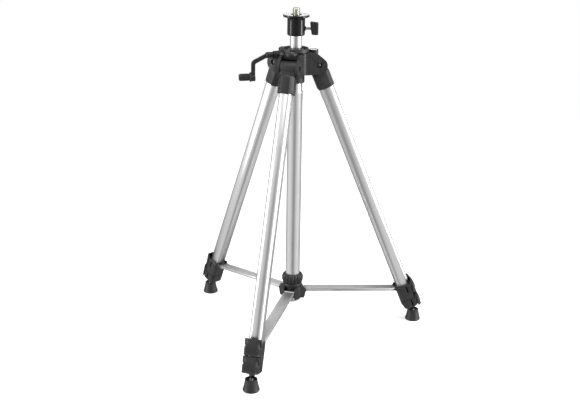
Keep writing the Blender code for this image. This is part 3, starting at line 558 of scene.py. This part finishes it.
black_nylon = glass_nylon("black_nylon")
knob_corners = ((44.6, -10.6), (44.6, 10.2), (33.4, 11.4), (36.4, -10.0))
knob_edge = ((5.5, 2.4), (5.3, 1.2), (4.7, 0.4), (3.4, 0.0))
knob_rings = []
for y, inset in (*knob_edge, *((-y, inset) for y, inset in knob_edge[::-1])):
    ring = []
    for k, corner in enumerate(knob_corners):
        ring += [(x, y, z) for x, z in arc(corner, 3.4 - inset, k * 90 - 90, k * 90, 6)]
    knob_rings.append(ring)
knob_mesh = loft(knob_rings, smooth=45.0)
knob_collar = turned([(3.1, 31.4), (4.0, 31.4), (4.6, 32.2), (4.6, 35.0), (3.1, 35.0)], 40, along_x())
knob_turn = spin_z(SCREW_AZIMUTH) @ shift(0.0, 0.0, SCREW_Z)
add_piece("wing_knob", knob_mesh, black_nylon, "clamp_screw", ["head_knob"], knob_turn)
add_piece("wing_knob_collar", knob_collar, black_nylon, "clamp_screw", (), knob_turn)

# ------------------------------------------------------------------ hub
# The body is one moulding: three clevis arms round a bearing, with the crank's gear housing
# between the front and the left arm. Its edges are rounded and its walls are grained.

LEG_NAMES = ("front", "right", "left")
LEG_AZIMUTHS = (-90.0, 30.0, 150.0)
LEG_TILT = 22.4
PIVOT_R = 47.9
PIVOT_Z = 638.8
HUB_HALF = 23.5
HUB_LOW = 618.0
HUB_TOP = 666.0
BEARING_R = 13.35
SLOT_HALF = 17.9
PINION_OFFSET = 18.0
SHAFT = spin_z(210.0) @ shift(0.0, -PINION_OFFSET, 657.0)
BUBBLE = spin_z(30.0) @ shift(40.0)

arm_outline = [(0.0, HUB_LOW), (PIVOT_R - 6.0, HUB_LOW)]
arm_outline += arc((PIVOT_R + 0.4, PIVOT_Z - 1.8), 17.9, -78, 55, 24)
arm_outline += [(52.8, 656.6), (46.5, 661.6), (39.0, 665.0), (33.0, HUB_TOP), (0.0, HUB_TOP)]
slot_outline = [(29.3, 600.0), (90.0, 600.0), (90.0, 690.0), (39.0, 690.0), (39.0, 656.3), (29.3, 656.3)]
bolt_profile = [(0.0, -40.0), (6.1, -40.0), (6.1, -19.4), (3.3, -19.4), (3.3, 19.4), (6.1, 19.4), (6.1, 40.0)]
bolt_profile += [(0.0, 40.0)]
arms = []
hub_cuts = [cylinder(BEARING_R, 600.0, 690.0, 64)]
for azimuth in LEG_AZIMUTHS:
    turn = spin_z(azimuth)
    arms.append(side_prism(arm_outline, HUB_HALF, turn))
    hub_cuts.append(side_prism(slot_outline, SLOT_HALF, turn))
    hub_cuts.append(turned(bolt_profile, 36, turn @ along_y(PIVOT_R, PIVOT_Z)))
hub_cuts.append(cylinder(8.0, -3.5, 3.5, 30, SHAFT @ along_x()))
hub_cuts.append(cylinder(3.6, -9.5, 80.0, 30, SHAFT @ along_x()))
hub_cuts.append(cylinder(10.5, 656.3, 700.0, 60, BUBBLE))
fillet_outline = [(20.0, -9.0)] + arc((38.7, 0.0), 10.0, 208, 152, 10) + [(20.0, 9.0)]
webs = [prism(fillet_outline, 618.4, 665.6, spin_z(azimuth + 60.0)) for azimuth in LEG_AZIMUTHS[:2]]
gear_housing = cylinder(8.8, 8.0, 46.0, 44, SHAFT @ along_x())
hub_mesh = join(cylinder(28.0, HUB_LOW, HUB_TOP, 72), *arms, *webs, gear_housing)
hub_mesh = soften(cut(hub_mesh, *hub_cuts), 0.9, 3)
add_piece("hub_moulding", hub_mesh, black_nylon, "tripod_hub", ["hub_body"])

collar_profile = [(BEARING_R, 666.3), (27.6, 666.3)] + arc((27.4, 668.1), 1.8, -80, 0, 5)
collar_profile += [(29.0, 670.6), (28.4, 671.2), (28.2, 672.6)] + arc((27.0, 673.6), 1.3, 0, 110, 6)
collar_profile += [(25.6, 673.4), (23.4, 671.0), (21.6, 670.4), (17.4, 670.4), (16.8, 671.8), (15.6, 672.4)]
collar_profile += [(14.0, 672.4), (BEARING_R, 671.8)]
collar_mesh = soften(cut(turned(collar_profile, 96), cylinder(10.5, 660.0, 680.0, 60, BUBBLE)), 0.25, 2)
add_piece("hub_collar_ring", collar_mesh, black_nylon, "tripod_hub", ["hub_collar"])

# Rounded bosses on the roots of the front and left arms, moulded in one with the hub, beside
# the collar. The right arm carries the bubble level in the same place.

boss_profile = [(0.0, 663.0), (13.6, 663.0), (13.6, 667.4)] + arc((9.8, 667.4), 3.8, 10, 80, 6)
boss_profile += [(6.0, 671.9), (0.0, 672.2)]
for name, azimuth in (("front", -90.0), ("left", 150.0)):
    boss = cut(turned(boss_profile, 64, spin_z(azimuth) @ shift(35.0)), cylinder(29.4, 660.0, 680.0, 96))
    add_piece("arm_boss_" + name, soften(boss, 0.3, 2), black_nylon, "tripod_hub")

# Bubble level: a round pot on the right arm's root with a low domed lens in the pale green
# of its fluid, and a printed centring ring on it.

pot_profile = [(0.0, 656.6), (9.6, 656.6), (10.2, 657.2), (10.2, 669.4)] + arc((9.4, 669.6), 0.8, 0, 90, 4)
pot_profile += [(8.5, 670.4), (8.3, 670.0), (8.3, 665.4), (0.0, 665.4)]
bubble_pot = turned(pot_profile, 72)
add_piece("bubble_pot", bubble_pot, black_nylon, "tripod_hub", ["bubble_housing"], BUBBLE)
fluid, fluid_tree, fluid_shader, fluid_coord = material_nodes("bubble_fluid")
fluid_shader.inputs["Coat Weight"].default_value = 1.0
fluid_shader.inputs["Coat Roughness"].default_value = 0.03
fluid_cloud = noise_node(fluid_tree, fluid_coord.outputs["Object"], 90.0, 3.0, 0.5)
fluid_tones = ((0.66, 0.72, 0.50), (0.74, 0.79, 0.60))
feed(fluid_tree, fluid_shader, "Base Color", fluid_cloud.outputs["Fac"], *fluid_tones)
feed(fluid_tree, fluid_shader, "Roughness", fluid_cloud.outputs["Fac"], 0.06, 0.14)
lens_profile = [(0.0, 665.8), (8.0, 665.8), (8.0, 669.2), (7.4, 669.8), (5.0, 670.2), (2.5, 670.4)]
lens_profile += [(0.0, 670.4)]
add_piece("bubble_lens", turned(lens_profile, 64), fluid, "tripod_hub", ["bubble_vial"], BUBBLE)
ring_profile = [(3.1, 670.30), (3.5, 670.26), (3.5, 670.40), (3.1, 670.42)]
add_piece("bubble_mark", turned(ring_profile, 48), black_nylon, "tripod_hub", (), BUBBLE)

# Bush and centre tubes under the hub: the nylon bush holds the guide tube, and the outer
# tube that the spreader slides on starts below it with a rolled top edge.

bush_profile = [(15.05, 599.0), (18.2, 599.0)] + arc((18.4, 600.6), 1.6, -80, 0, 5)
bush_profile += [(20.0, 610.0), (19.4, 610.6), (19.4, 612.0), (20.0, 612.6), (20.0, 617.6), (15.05, 617.6)]
add_piece("lower_bush", turned(bush_profile, 80), black_nylon, "tripod_hub", ["column_bush"])
guide_rings = [round_ring(r, z) for r, z in ((13.5, 555.0), (14.75, 555.0), (14.75, 617.6), (13.5, 617.6))]
add_piece("inner_guide_tube", loft(guide_rings, hollow=True), column_aluminium, "tripod_hub",
          ["guide_tube"])
leg_aluminium = drawn_aluminium("leg_aluminium")
centre_shape = ((15.05, 80.0), (16.2, 80.0), (16.55, 80.4), (16.55, 576.0), (16.75, 576.6))
centre_shape += ((16.75, 579.6), (16.5, 580.6), (15.6, 581.0), (15.05, 580.6))
centre_rings = [round_ring(r, z, 80) for r, z in centre_shape]
add_piece("outer_centre_tube", loft(centre_rings, hollow=True), leg_aluminium, "tripod_hub",
          ["centre_tube"])

# ------------------------------------------------------------------ crank
# A steel pinion shaft comes out of the gear housing. The bent arm is a black casting keyed on
# it, and a ribbed nylon grip turns on the pin at the arm's end.

pinion_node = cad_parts["pinion_shaft"]
pinion_node.data.materials.clear()
pinion_node.data.materials.append(plated_steel)


def ribbon(points, half):
    """A mitred outline of constant thickness along a polyline."""
    left, right = [], []
    for i, (x, z) in enumerate(points):
        before = points[max(i - 1, 0)]
        after = points[min(i + 1, len(points) - 1)]
        into = Vector((x - before[0], z - before[1]))
        out = Vector((after[0] - x, after[1] - z))
        into = into.normalized() if into.length else out.normalized()
        out = out.normalized() if out.length else into
        middle = (into + out).normalized()
        normal = Vector((-middle.y, middle.x))
        reach = half / max(0.3, middle.dot(into))
        left.append((x + normal.x * reach, z + normal.y * reach))
        right.append((x - normal.x * reach, z - normal.y * reach))
    return left + right[::-1]


THROW = 47.0
arm_line = [(56.0, 0.0), (60.0, -0.4), (63.0, -1.6), (84.0, -12.0)]
arm_line += arc((81.9, -20.4), 8.6, 62, 4, 6) + [(90.8, -THROW - 2.0)]
arm_mesh = side_prism(ribbon(arm_line, 4.0), 3.8)
arm_hub = turned([(0.0, 53.4), (3.4, 53.4), (3.4, 46.6), (6.0, 46.6), (6.8, 47.4), (6.8, 59.6),
                  (6.2, 61.4), (4.8, 63.0), (0.0, 63.0)], 48, along_x())
arm_eye = cylinder(7.2, 86.6, 94.6, 44, along_x(0.0, -THROW - 2.4))
arm_pin = cylinder(2.6, 90.0, 121.0, 30, along_x(0.0, -THROW))
arm_mesh = soften(join(arm_mesh, arm_hub, arm_eye, arm_pin), 0.8, 3)
add_piece("crank_casting", arm_mesh, black_nylon, "crank", ["crank_arm"], SHAFT)

grip_profile = [(3.0, 99.0), (7.0, 99.0), (7.2, 99.6), (7.2, 118.6), (7.6, 119.4)]
grip_profile += arc((6.2, 120.4), 1.4, 0, 80, 4) + [(3.0, 121.8)]
add_piece("grip_core", turned(grip_profile, 64, along_x(0.0, -THROW)), black_nylon, "grip",
          ["crank_grip"], SHAFT)
flange_profile = [(3.0, 95.3), (9.8, 95.3), (10.4, 95.8), (10.4, 97.4), (9.6, 98.2), (6.8, 99.2), (3.0, 99.2)]
grip_flange = turned(flange_profile, 64, along_x(0.0, -THROW))


def rib_ring_tree(name, material):
    """Geometry Nodes tree: bars of one size set round a circle, pointing out from its axis."""
    tree = bpy.data.node_groups.new(name, "GeometryNodeTree")
    face = tree.interface
    sockets = (("Geometry", "Geometry"), ("Bars", "Int"), ("Ring Radius", "Float"), ("Bar Length", "Float"),
               ("Bar Radius", "Float"))
    for label, kind in sockets:
        face.new_socket(label, in_out="INPUT", socket_type="NodeSocket" + kind)
    face.new_socket("Geometry", in_out="OUTPUT", socket_type="NodeSocketGeometry")
    entry = tree.nodes.new("NodeGroupInput")
    end = tree.nodes.new("NodeGroupOutput")
    ring = tree.nodes.new("GeometryNodeMeshCircle")
    bar = tree.nodes.new("GeometryNodeMeshCylinder")
    bar.inputs["Vertices"].default_value = 12
    bar.inputs["Side Segments"].default_value = 1
    place = tree.nodes.new("GeometryNodeInstanceOnPoints")
    real = tree.nodes.new("GeometryNodeRealizeInstances")
    paint = tree.nodes.new("GeometryNodeSetMaterial")
    paint.inputs["Material"].default_value = material
    tree.links.new(entry.outputs["Bars"], ring.inputs["Vertices"])
    tree.links.new(entry.outputs["Ring Radius"], ring.inputs["Radius"])
    tree.links.new(entry.outputs["Bar Radius"], bar.inputs["Radius"])
    tree.links.new(entry.outputs["Bar Length"], bar.inputs["Depth"])
    tree.links.new(ring.outputs["Mesh"], place.inputs["Points"])
    tree.links.new(bar.outputs["Mesh"], place.inputs["Instance"])
    tree.links.new(place.outputs["Instances"], real.inputs["Geometry"])
    tree.links.new(real.outputs["Geometry"], paint.inputs["Geometry"])
    tree.links.new(paint.outputs["Geometry"], end.inputs["Geometry"])
    return tree


def grown(tree, **values):
    """The plain mesh that a node tree grows from its named inputs."""
    seed_mesh = bpy.data.meshes.new("seed")
    seed = bpy.data.objects.new("seed", seed_mesh)
    bpy.context.collection.objects.link(seed)
    modifier = seed.modifiers.new("grow", "NODES")
    modifier.node_group = tree
    for item in tree.interface.items_tree:
        key = item.name.replace(" ", "_").lower()
        if item.in_out == "INPUT" and key in values:
            modifier[item.identifier] = values[key]
    bpy.context.view_layer.update()
    result = bpy.data.meshes.new_from_object(seed.evaluated_get(bpy.context.evaluated_depsgraph_get()))
    seed.modifiers.remove(modifier)
    bpy.data.objects.remove(seed)
    result.shade_smooth()
    result.set_sharp_from_angle(angle=radians(50))
    return result


rib_tree = rib_ring_tree("grip_ribs", black_nylon)
grip_ribs = grown(rib_tree, bars=16, ring_radius=7.2 * MM, bar_length=18.4 * MM, bar_radius=0.8 * MM)
grip_ribs.transform(along_x(0.0, -THROW) @ shift(0.0, 0.0, 109.6))
add_piece("grip_ribs", grip_ribs, black_nylon, "grip", (), SHAFT)
add_piece("grip_flange", grip_flange, black_nylon, "grip", (), SHAFT)

# ------------------------------------------------------------------ lock ring and spreader
# The fluted ring clamps the spreader on the centre tube. The spreader is a ring with three
# pairs of cheeks, one pair to each strut, held by steel pins.

LOBES = 20
CENTRE_BORE = 16.85
ring_steps = LOBES * 12
barrel_shape = ((127.4, 20.9, 0.0), (128.0, 22.2, 0.9), (130.0, 23.7, 1.9), (133.5, 24.5, 2.5))
barrel_shape += ((138.0, 24.6, 2.6), (141.6, 24.2, 2.5), (144.6, 22.8, 1.8))
barrel_shape += ((146.8, 20.6, 0.8), (147.6, 18.6, 0.0))
ring_rings = [round_ring(CENTRE_BORE, 127.4, ring_steps)]
for z, reach, depth in barrel_shape:
    ring = []
    for k in range(ring_steps):
        a = 2 * pi * k / ring_steps
        radius = reach - depth * (1.0 - abs(cos(a * LOBES / 2)) ** 0.75)
        ring.append((radius * cos(a), radius * sin(a), z))
    ring_rings.append(ring)
ring_rings.append(round_ring(CENTRE_BORE, 146.8, ring_steps))
add_piece("fluted_ring", loft(ring_rings, hollow=True, smooth=30.0), black_nylon, "lock_ring",
          ["lock_ring"])

SPREADER_R = 24.0
SPREADER_Z = 106.2
cheek_outline = [(13.0, 90.0), (20.0, 88.0), (24.0, 88.4), (26.0, 92.0)]
cheek_outline += arc((SPREADER_R, SPREADER_Z), 5.4, -40, 60, 14) + [(23.0, 117.6), (13.0, 117.6)]
cheeks = []
block_outline = [(7.0, 0.0)] + arc((9.0, 0.0), 14.2, 44, -44, 12)
for azimuth in LEG_AZIMUTHS:
    turn = spin_z(azimuth)
    for side in (-1, 1):
        cheeks.append(side_prism(cheek_outline, 1.8, turn @ shift(0.0, side * 14.3, 0.0)))
    cheeks.append(prism(block_outline, 87.2, 117.2, spin_z(azimuth + 60.0)))
spreader_mesh = join(cylinder(20.3, 91.6, 118.2, 90), *cheeks)
neck_profile = [(CENTRE_BORE, 116.0), (21.6, 116.0), (22.2, 118.4), (22.2, 123.8), (21.0, 125.2)]
neck_profile += [(18.8, 125.5), (CENTRE_BORE, 125.5)]
spreader_mesh = join(spreader_mesh, turned(neck_profile, 90))
spreader_mesh = soften(cut(spreader_mesh, cylinder(CENTRE_BORE, 60.0, 140.0, 72)), 0.5, 3)
add_piece("spreader_moulding", spreader_mesh, black_nylon, "spreader", ["spreader_hub"])

# Struts: rolled aluminium channels, 24 mm wide, with a pressed groove along the top. The bar
# turns on the leg's lug, and a sleeve of the same section turns on the spreader's pin.

LUG_STATION = 589.0
LUG_OFFSET = 21.5
tilt = radians(LEG_TILT)
lug_r = PIVOT_R + LUG_STATION * sin(tilt) - LUG_OFFSET * cos(tilt)
lug_z = PIVOT_Z - LUG_STATION * cos(tilt) - LUG_OFFSET * sin(tilt)
slope = Matrix.Rotation(atan2(SPREADER_Z - lug_z, lug_r - SPREADER_R), 4, "Y")


def channel(x_points, half_w=12.0, high=3.25, low=-3.25, wall=1.1, groove=0.3):
    """A U channel open below, along local X, with a shallow groove pressed in its top."""
    skin = [(half_w, low), (half_w, high - 1.0), (half_w - 0.3, high - 0.3), (half_w - 1.0, high)]
    skin += [(3.4, high), (2.6, high - groove)]
    under = high - wall
    lining = [(half_w - wall, low), (half_w - wall, under - 0.6), (half_w - wall - 0.6, under)]
    lining += [(3.0, under), (2.2, under - groove)]
    section = [(-y, z) for y, z in skin] + skin[::-1] + lining + [(-y, z) for y, z in lining[::-1]]
    return loft([[(x, y, z) for y, z in section] for x in x_points])


def strut_end():
    """The rounded ends of a channel's two side walls, as discs round the pin."""
    return [cylinder(3.2, side * 11.4 - 0.62, side * 11.4 + 0.62, 36, along_y()) for side in (-1, 1)]


strut_aluminium = drawn_aluminium("strut_aluminium", 0.60, 0.42)
black_steel = zinc_steel("black_steel", (0.16, 0.16, 0.16), 0.26)
for name, azimuth in zip(LEG_NAMES, LEG_AZIMUTHS):
    outer = spin_z(azimuth) @ shift(lug_r, 0.0, lug_z) @ slope
    bar = soften(join(channel((-160.0, -3.4)), *strut_end()), 0.2, 2)
    add_piece("strut_channel_" + name, bar, strut_aluminium, "strut_" + name,
              ["strut_" + name], outer)
    inner = spin_z(azimuth) @ shift(SPREADER_R, 0.0, SPREADER_Z) @ slope
    sleeve = channel((7.0, 76.0), 12.0, 3.3, -3.2)
    tongue = box((0.0, -9.0, -2.0), (20.0, 9.0, 2.0))
    barrel = cylinder(3.4, -12.2, 12.2, 36, along_y())
    link = soften(join(barrel, tongue), 0.3, 2)
    add_piece("strut_end_" + name, link, strut_aluminium, "strut_link_" + name,
              ["strut_link_" + name], inner)
    add_piece("strut_sleeve_" + name, sleeve, strut_aluminium, "strut_link_" + name, (), inner)
    pin_profile = [(0.0, -16.0), (2.1, -16.0), (2.1, 16.0), (0.0, 16.0)]
    pin = turned(pin_profile, 28, along_y())
    add_piece("spreader_pin_" + name, pin, black_steel, "spreader", (), inner)

# ------------------------------------------------------------------ legs
# Each leg is three oval aluminium tubes that slide in each other. A black socket carries the
# top tube in the hub's clevis on a steel bolt, and two flip locks clamp the lower tubes.

TUBE_HALF = (16.25, 14.75)
TUBE_STEP = 1.95
TUBE_SPANS = ((20.5, 600.0), (60.0, 640.0), (75.0, 649.5))


def oval(half_x, half_y, steps=72, power=2.6):
    points = []
    for k in range(steps):
        a = 2 * pi * (k + 0.5) / steps
        x = abs(cos(a)) ** (2 / power) * (1 if cos(a) > 0 else -1)
        y = abs(sin(a)) ** (2 / power) * (1 if sin(a) > 0 else -1)
        points.append((half_x * x, half_y * y))
    return points


def faceted(half_x, half_y, chamfer, fillet=1.6):
    """A rectangle with chamfered corners, each edge of which is rounded."""
    outline = []
    for k in range(4):
        corner_x = (half_x, -half_x, -half_x, half_x)[k]
        corner_y = (half_y, half_y, -half_y, -half_y)[k]
        in_x = -chamfer if corner_x > 0 else chamfer
        in_y = -chamfer if corner_y > 0 else chamfer
        first = (corner_x, corner_y + in_y)
        last = (corner_x + in_x, corner_y)
        if k % 2:
            first, last = last, first
        slide = fillet * 0.42
        for point, other in ((first, last), (last, first)):
            along = (Vector(other) - Vector(point)).normalized() * slide
            if abs(point[0]) == abs(half_x):
                side = Vector((0.0, -slide if point[1] > 0 else slide))
            else:
                side = Vector((-slide if point[0] > 0 else slide, 0.0))
            edge = [Vector(point) + side, Vector(point) + (side + along) * 0.22, Vector(point) + along]
            outline += edge if point is first else edge[::-1]
    return [tuple(point) for point in outline]


def leg_place(azimuth):
    """The frame of one leg: origin on its pivot, local Z up the leg and X outward."""
    return spin_z(azimuth) @ shift(PIVOT_R, 0.0, PIVOT_Z) @ Matrix.Rotation(radians(-LEG_TILT), 4, "Y")


def leg_tube(index, start, end):
    half_x = TUBE_HALF[0] - TUBE_STEP * index
    half_y = TUBE_HALF[1] - TUBE_STEP * index
    rings = []
    edge = ((1.5, start), (0.2, start), (0.0, start + 0.3))
    edge += ((0.0, end - 0.3), (0.2, end), (1.5, end))
    for inset, u in edge:
        rings.append([(x, y, -u) for x, y in oval(half_x - inset, half_y - inset)])
    return loft(rings, hollow=True)


for name, azimuth in zip(LEG_NAMES, LEG_AZIMUTHS):
    leg = leg_place(azimuth)

    # socket: barrel, neck and faceted skirt in one moulding
    barrel = cylinder(16.0, -17.5, 17.5, 72, along_y())
    neck = box((-13.0, -16.8, -18.0), (13.0, 16.8, -4.0))
    drape = ((14.0, 4.0), (17.0, 1.4), (20.0, 0.3), (24.0, 0.0), (55.2, 0.0), (56.6, 1.0))
    skirt = loft([[(x, y, -u) for x, y in faceted(18.6 - inset, 17.3 - inset, 8.4)] for u, inset in drape])
    pocket = prism(oval(16.55, 15.05, 72), -60.0, -20.2)
    hole = cylinder(3.3, -40.0, 40.0, 32, along_y())
    socket = soften(cut(join(barrel, neck, skirt), pocket, hole), 0.6, 3)
    add_piece("socket_moulding_" + name, socket, black_nylon, "leg_" + name,
              ["leg_socket_" + name], leg)

    # pivot bolt: domed heads with a hexagon recess, sunk in the cheeks
    bolt_shape = [(0.0, -22.4), (2.4, -22.1), (4.1, -21.2), (4.9, -19.7), (3.0, -19.7)]
    bolt_shape += [(3.0, 19.7), (4.9, 19.7), (4.1, 21.2), (2.4, 22.1), (0.0, 22.4)]
    bolt = turned(bolt_shape, 48, along_y())
    hexagon = [(1.9 * cos(pi * k / 3), 1.9 * sin(pi * k / 3)) for k in range(6)]
    recess_a = prism(hexagon, 21.0, 30.0, along_y())
    recess_b = prism(hexagon, -30.0, -21.0, along_y())
    bolt = cut(bolt, recess_a, recess_b)
    bolt.shade_smooth()
    bolt.set_sharp_from_angle(angle=radians(35))
    add_piece("hinge_bolt_" + name, bolt, black_steel, "tripod_hub", ["pivot_bolt_" + name], leg)

    for index, (kind, body) in enumerate((("upper", "leg_"), ("middle", "middle_"), ("lower", "lower_"))):
        tube = leg_tube(index, *TUBE_SPANS[index])
        add_piece(kind + "_leg_tube_" + name, tube, leg_aluminium, body + name,
                  [kind + "_tube_" + name], leg)

# Leg locks: each is a moulded collar with a clamping slit at its sides and a bowed lever on
# its outer face. The lower lock's lever block reaches up into a step of the upper lock.

LOCK_OUTER = 18.6
LOCK_HALF = 18.0
LEVER_X = 21.2
LEVER_PINS = (580.0, 617.4)
EAR_HALF = 16.0
LOCK_SPANS = ((588.0, 626.0), (626.6, 661.0))
SLIT = (0.6, 4.0, 17.0)


def lock_body(index):
    top, bottom = LOCK_SPANS[index]
    taper = [(top, 0.9), (top + 1.0, 0.1), (top + 2.2, 0.0)]
    taper += [(bottom - 1.5, 0.0), (bottom - 0.6, 0.2), (bottom, 0.8)]
    if index == 1:
        taper = [(top, 0.1), (644.0, 0.0), (648.0, 1.0), (651.0, 3.6), (653.0, 6.4)]
    body = loft([[(x, y, -u) for x, y in faceted(LOCK_OUTER - inset, LOCK_HALF - inset, 5.4 - inset * 0.3)]
                 for u, inset in taper])
    pin_u = LEVER_PINS[index]
    adds = []
    cuts = []
    ear = [(12.5, -pin_u - 13.0), (LOCK_OUTER - 1.0, -pin_u - 13.0)]
    ear += arc((LEVER_X, -pin_u), 2.4, -20, 130, 12) + [(14.5, -pin_u - 3.0)]
    width = (LOCK_HALF + 0.4 - EAR_HALF) / 2
    slit_top = top + 2.6 - 0.6 * index
    for side in (-1, 1):
        adds.append(side_prism(ear, width, shift(0.0, side * (EAR_HALF + width), 0.0)))
        wall = side * LOCK_HALF
        slit = box((SLIT[0], wall - 2.5, -slit_top - SLIT[2]), (SLIT[1], wall + 2.5, -slit_top))
        cuts.append(slit)
    half_x = TUBE_HALF[0] - TUBE_STEP * index
    half_y = TUBE_HALF[1] - TUBE_STEP * index
    if index == 0:
        y = 12.0 - 1.1 - 0.4
        adds.append(box((-LUG_OFFSET, -y, -LUG_STATION - 1.9), (-14.4, y, -LUG_STATION + 1.9)))
        adds.append(cylinder(1.9, -y, y, 30, along_y(-LUG_OFFSET, -LUG_STATION)))
        prong = [(-13.0, 5.0), (-18.4, 7.4), (-20.0, 3.4), (-26.4, 3.0)]
        prong += [(-26.8, 1.4), (-21.6, -2.6), (-13.0, -8.0)]
        for side in (-1, 1):
            adds.append(side_prism(prong, 0.9, shift(0.0, side * 13.3, -LUG_STATION)))
        adds.append(cylinder(1.3, -13.9, 13.9, 24, along_y(-LUG_OFFSET, -LUG_STATION)))
        cuts.append(box((12.2, -40.0, -bottom - 5.0), (60.0, 40.0, -613.9)))
    else:
        low = (half_x + 0.3, 0.7 - EAR_HALF, -top - 4.0)
        adds.append(box(low, (LOCK_OUTER - 0.1, EAR_HALF - 0.7, -pin_u + 2.0)))
    body = join(body, *adds)
    cuts.append(prism(oval(half_x + 0.3, half_y + 0.3), -TUBE_SPANS[index][1] - 0.3, -top + 20.0))
    cuts.append(prism(oval(half_x - 1.6, half_y - 1.6), -bottom - 5.0, -top + 20.0))
    for side in (-1, 1):
        corner = [(20.6, side * 18.6), (30.0, side * 9.2), (40.0, side * 9.2)]
        corner += [(40.0, side * 30.0), (20.6, side * 30.0)]
        cuts.append(prism(corner[::side], -pin_u - 20.0, -pin_u + 6.0))
    return soften(cut(body, *cuts), 0.45, 3)


def painted_slit_shade(index):
    """Painted shade: flat black boxes set in the slit between a lock's clamping jaws, on both sides, standing
    in for the shade in the gap.
    """
    slit_top = LOCK_SPANS[index][0] + 2.6 - 0.6 * index
    shade_boxes = []
    for side in (-1, 1):
        low = (SLIT[0] - 0.2, side * 15.7 - 0.25, -slit_top - SLIT[2] - 0.2)
        shade_boxes.append(box(low, (SLIT[1] + 0.2, side * 15.7 + 0.25, -slit_top + 0.2)))
    return join(*shade_boxes)


def lever():
    """Flip lever: a plate bowed down its length and wrapped round the lock's corners."""
    reach = 2.0
    outer, inner = [], []
    for k in range(19):
        t = k / 18
        z = -33.6 * t
        bow = sin(pi * min(1.0, t * 1.15)) * reach
        flare = 1.0 * max(0.0, (t - 0.86) / 0.14) ** 1.5
        outer.append((1.9 + bow + flare, z))
        inner.append((-1.3 + bow * 0.62 + 0.9 * t, z))
    outline = [(-1.3, 0.0)] + arc((0.0, 0.0), 2.1, 150, 20, 8) + outer[1:] + inner[:0:-1]
    rings = []
    for y in (-18.6, -18.2, -15.7, -15.5, -13.2, -12.6, -6.0, 6.0, 12.6, 13.2, 15.5, 15.7, 18.2, 18.6):
        drop = max(0.0, abs(y) - 12.6)
        shrink = 0.5 if abs(y) > 18.5 else 0.0
        ring = []
        for x, z in outline:
            wrap = drop * min(1.0, max(0.0, -z / 9.0))
            if abs(y) > 15.6 and z > -15.0:
                x, z, wrap = 1.2 + (x > 1.2) * 1.4, -15.0, drop
            ring.append((x - wrap, y, z * (1.0 - 0.02 * shrink)))
        rings.append(ring)
    return loft(rings, smooth=38.0)


lock_meshes = (lock_body(0), lock_body(1))
lever_mesh = lever()
# Painted shade: a dull, glossless black for the boxes in the locks' slits, standing in for the shade inside
# them.
void_black = glass_nylon("void_black", 0.003, 0.8, 0.05)
void_black.node_tree.nodes["Principled BSDF"].inputs["Specular IOR Level"].default_value = 0.0
slit_shade_meshes = (painted_slit_shade(0), painted_slit_shade(1))
for name, azimuth in zip(LEG_NAMES, LEG_AZIMUTHS):
    leg = leg_place(azimuth)
    for kind, mesh, body in (("upper", lock_meshes[0], "leg_"), ("lower", lock_meshes[1], "middle_")):
        add_piece(kind + "_lock_moulding_" + name, mesh.copy(), black_nylon, body + name,
                  [kind + "_lock_" + name], leg)
        # The black boxes in both slits of each lock are painted shade.
        shade_boxes = slit_shade_meshes[kind == "lower"].copy()
        add_piece(kind + "_lock_gap_" + name, shade_boxes, void_black, body + name, (), leg)
    for kind, station in zip(("upper", "lower"), LEVER_PINS):
        place = leg @ shift(LEVER_X, 0.0, -station)
        add_piece(kind + "_lever_moulding_" + name, lever_mesh.copy(), black_nylon, kind + "_lever_" + name,
                  [kind + "_lever_" + name], place)

# Feet: a steel ball on a short stem, plugged in the lowest tube, held in a conical foot of
# black rubber with an open cup at its top and a recessed sole.

FOOT_R = 302.3
BALL_Z = 22.0
BALL_R = 5.2


def foot_rubber(name):
    material, tree, shader, coord = material_nodes(name)
    shader.inputs["Specular IOR Level"].default_value = 0.5
    bloom = noise_node(tree, coord.outputs["Object"], 120.0, 6.0, 0.65)
    feed(tree, shader, "Base Color", bloom.outputs["Fac"], (0.010, 0.0105, 0.0105), (0.024, 0.025, 0.025))
    feed(tree, shader, "Roughness", bloom.outputs["Fac"], 0.36, 0.52)
    fine = noise_node(tree, coord.outputs["Object"], 1500.0, 3.0, 0.6)
    bump_node(tree, shader, fine.outputs["Fac"], 0.25, 0.0001)
    return material


rubber = foot_rubber("foot_rubber")
foot_profile = [(0.0, 0.6), (12.0, 0.6), (12.6, 0.0), (16.6, 0.0)] + arc((16.6, 1.4), 1.4, -80, 0, 5)
foot_profile += [(18.0, 3.0), (17.8, 3.8), (17.0, 5.2), (16.9, 5.6), (14.2, 19.0), (13.7, 21.4), (13.6, 22.0)]
foot_profile += [(13.4, 24.6)] + arc((12.4, 25.3), 1.2, 0, 90, 5) + [(11.2, 26.4), (10.2, 26.0)]
foot_profile += [(6.1, 22.6), (5.6, 21.0)]
foot_profile += [(max(0.0, r), z) for r, z in arc((0.0, BALL_Z), 5.6, -20, -90, 10)]
stem_u = hypot(FOOT_R - PIVOT_R, PIVOT_Z - BALL_Z)
stem_profile = [(0.0, -648.0), (8.2, -648.0), (8.2, -652.4), (5.6, -657.6), (3.8, -659.8), (3.2, -661.8)]
stem_profile += [(max(0.0, r), z) for r, z in arc((0.0, -stem_u), BALL_R, 52, -90, 16)]
for name, azimuth in zip(LEG_NAMES, LEG_AZIMUTHS):
    turn = spin_z(azimuth)
    leg = leg_place(azimuth)
    add_piece("rubber_foot_" + name, turned(foot_profile, 72), rubber, "foot_" + name,
              ["foot_" + name], turn @ shift(FOOT_R))
    plug = prism(oval(10.55, 9.05), -651.0, -636.0)
    stem = soften(join(plug, turned(stem_profile, 40)), 0.3, 2)
    add_piece("ball_stem_piece_" + name, stem, black_steel, "lower_" + name,
              ["ball_stem_" + name], leg)
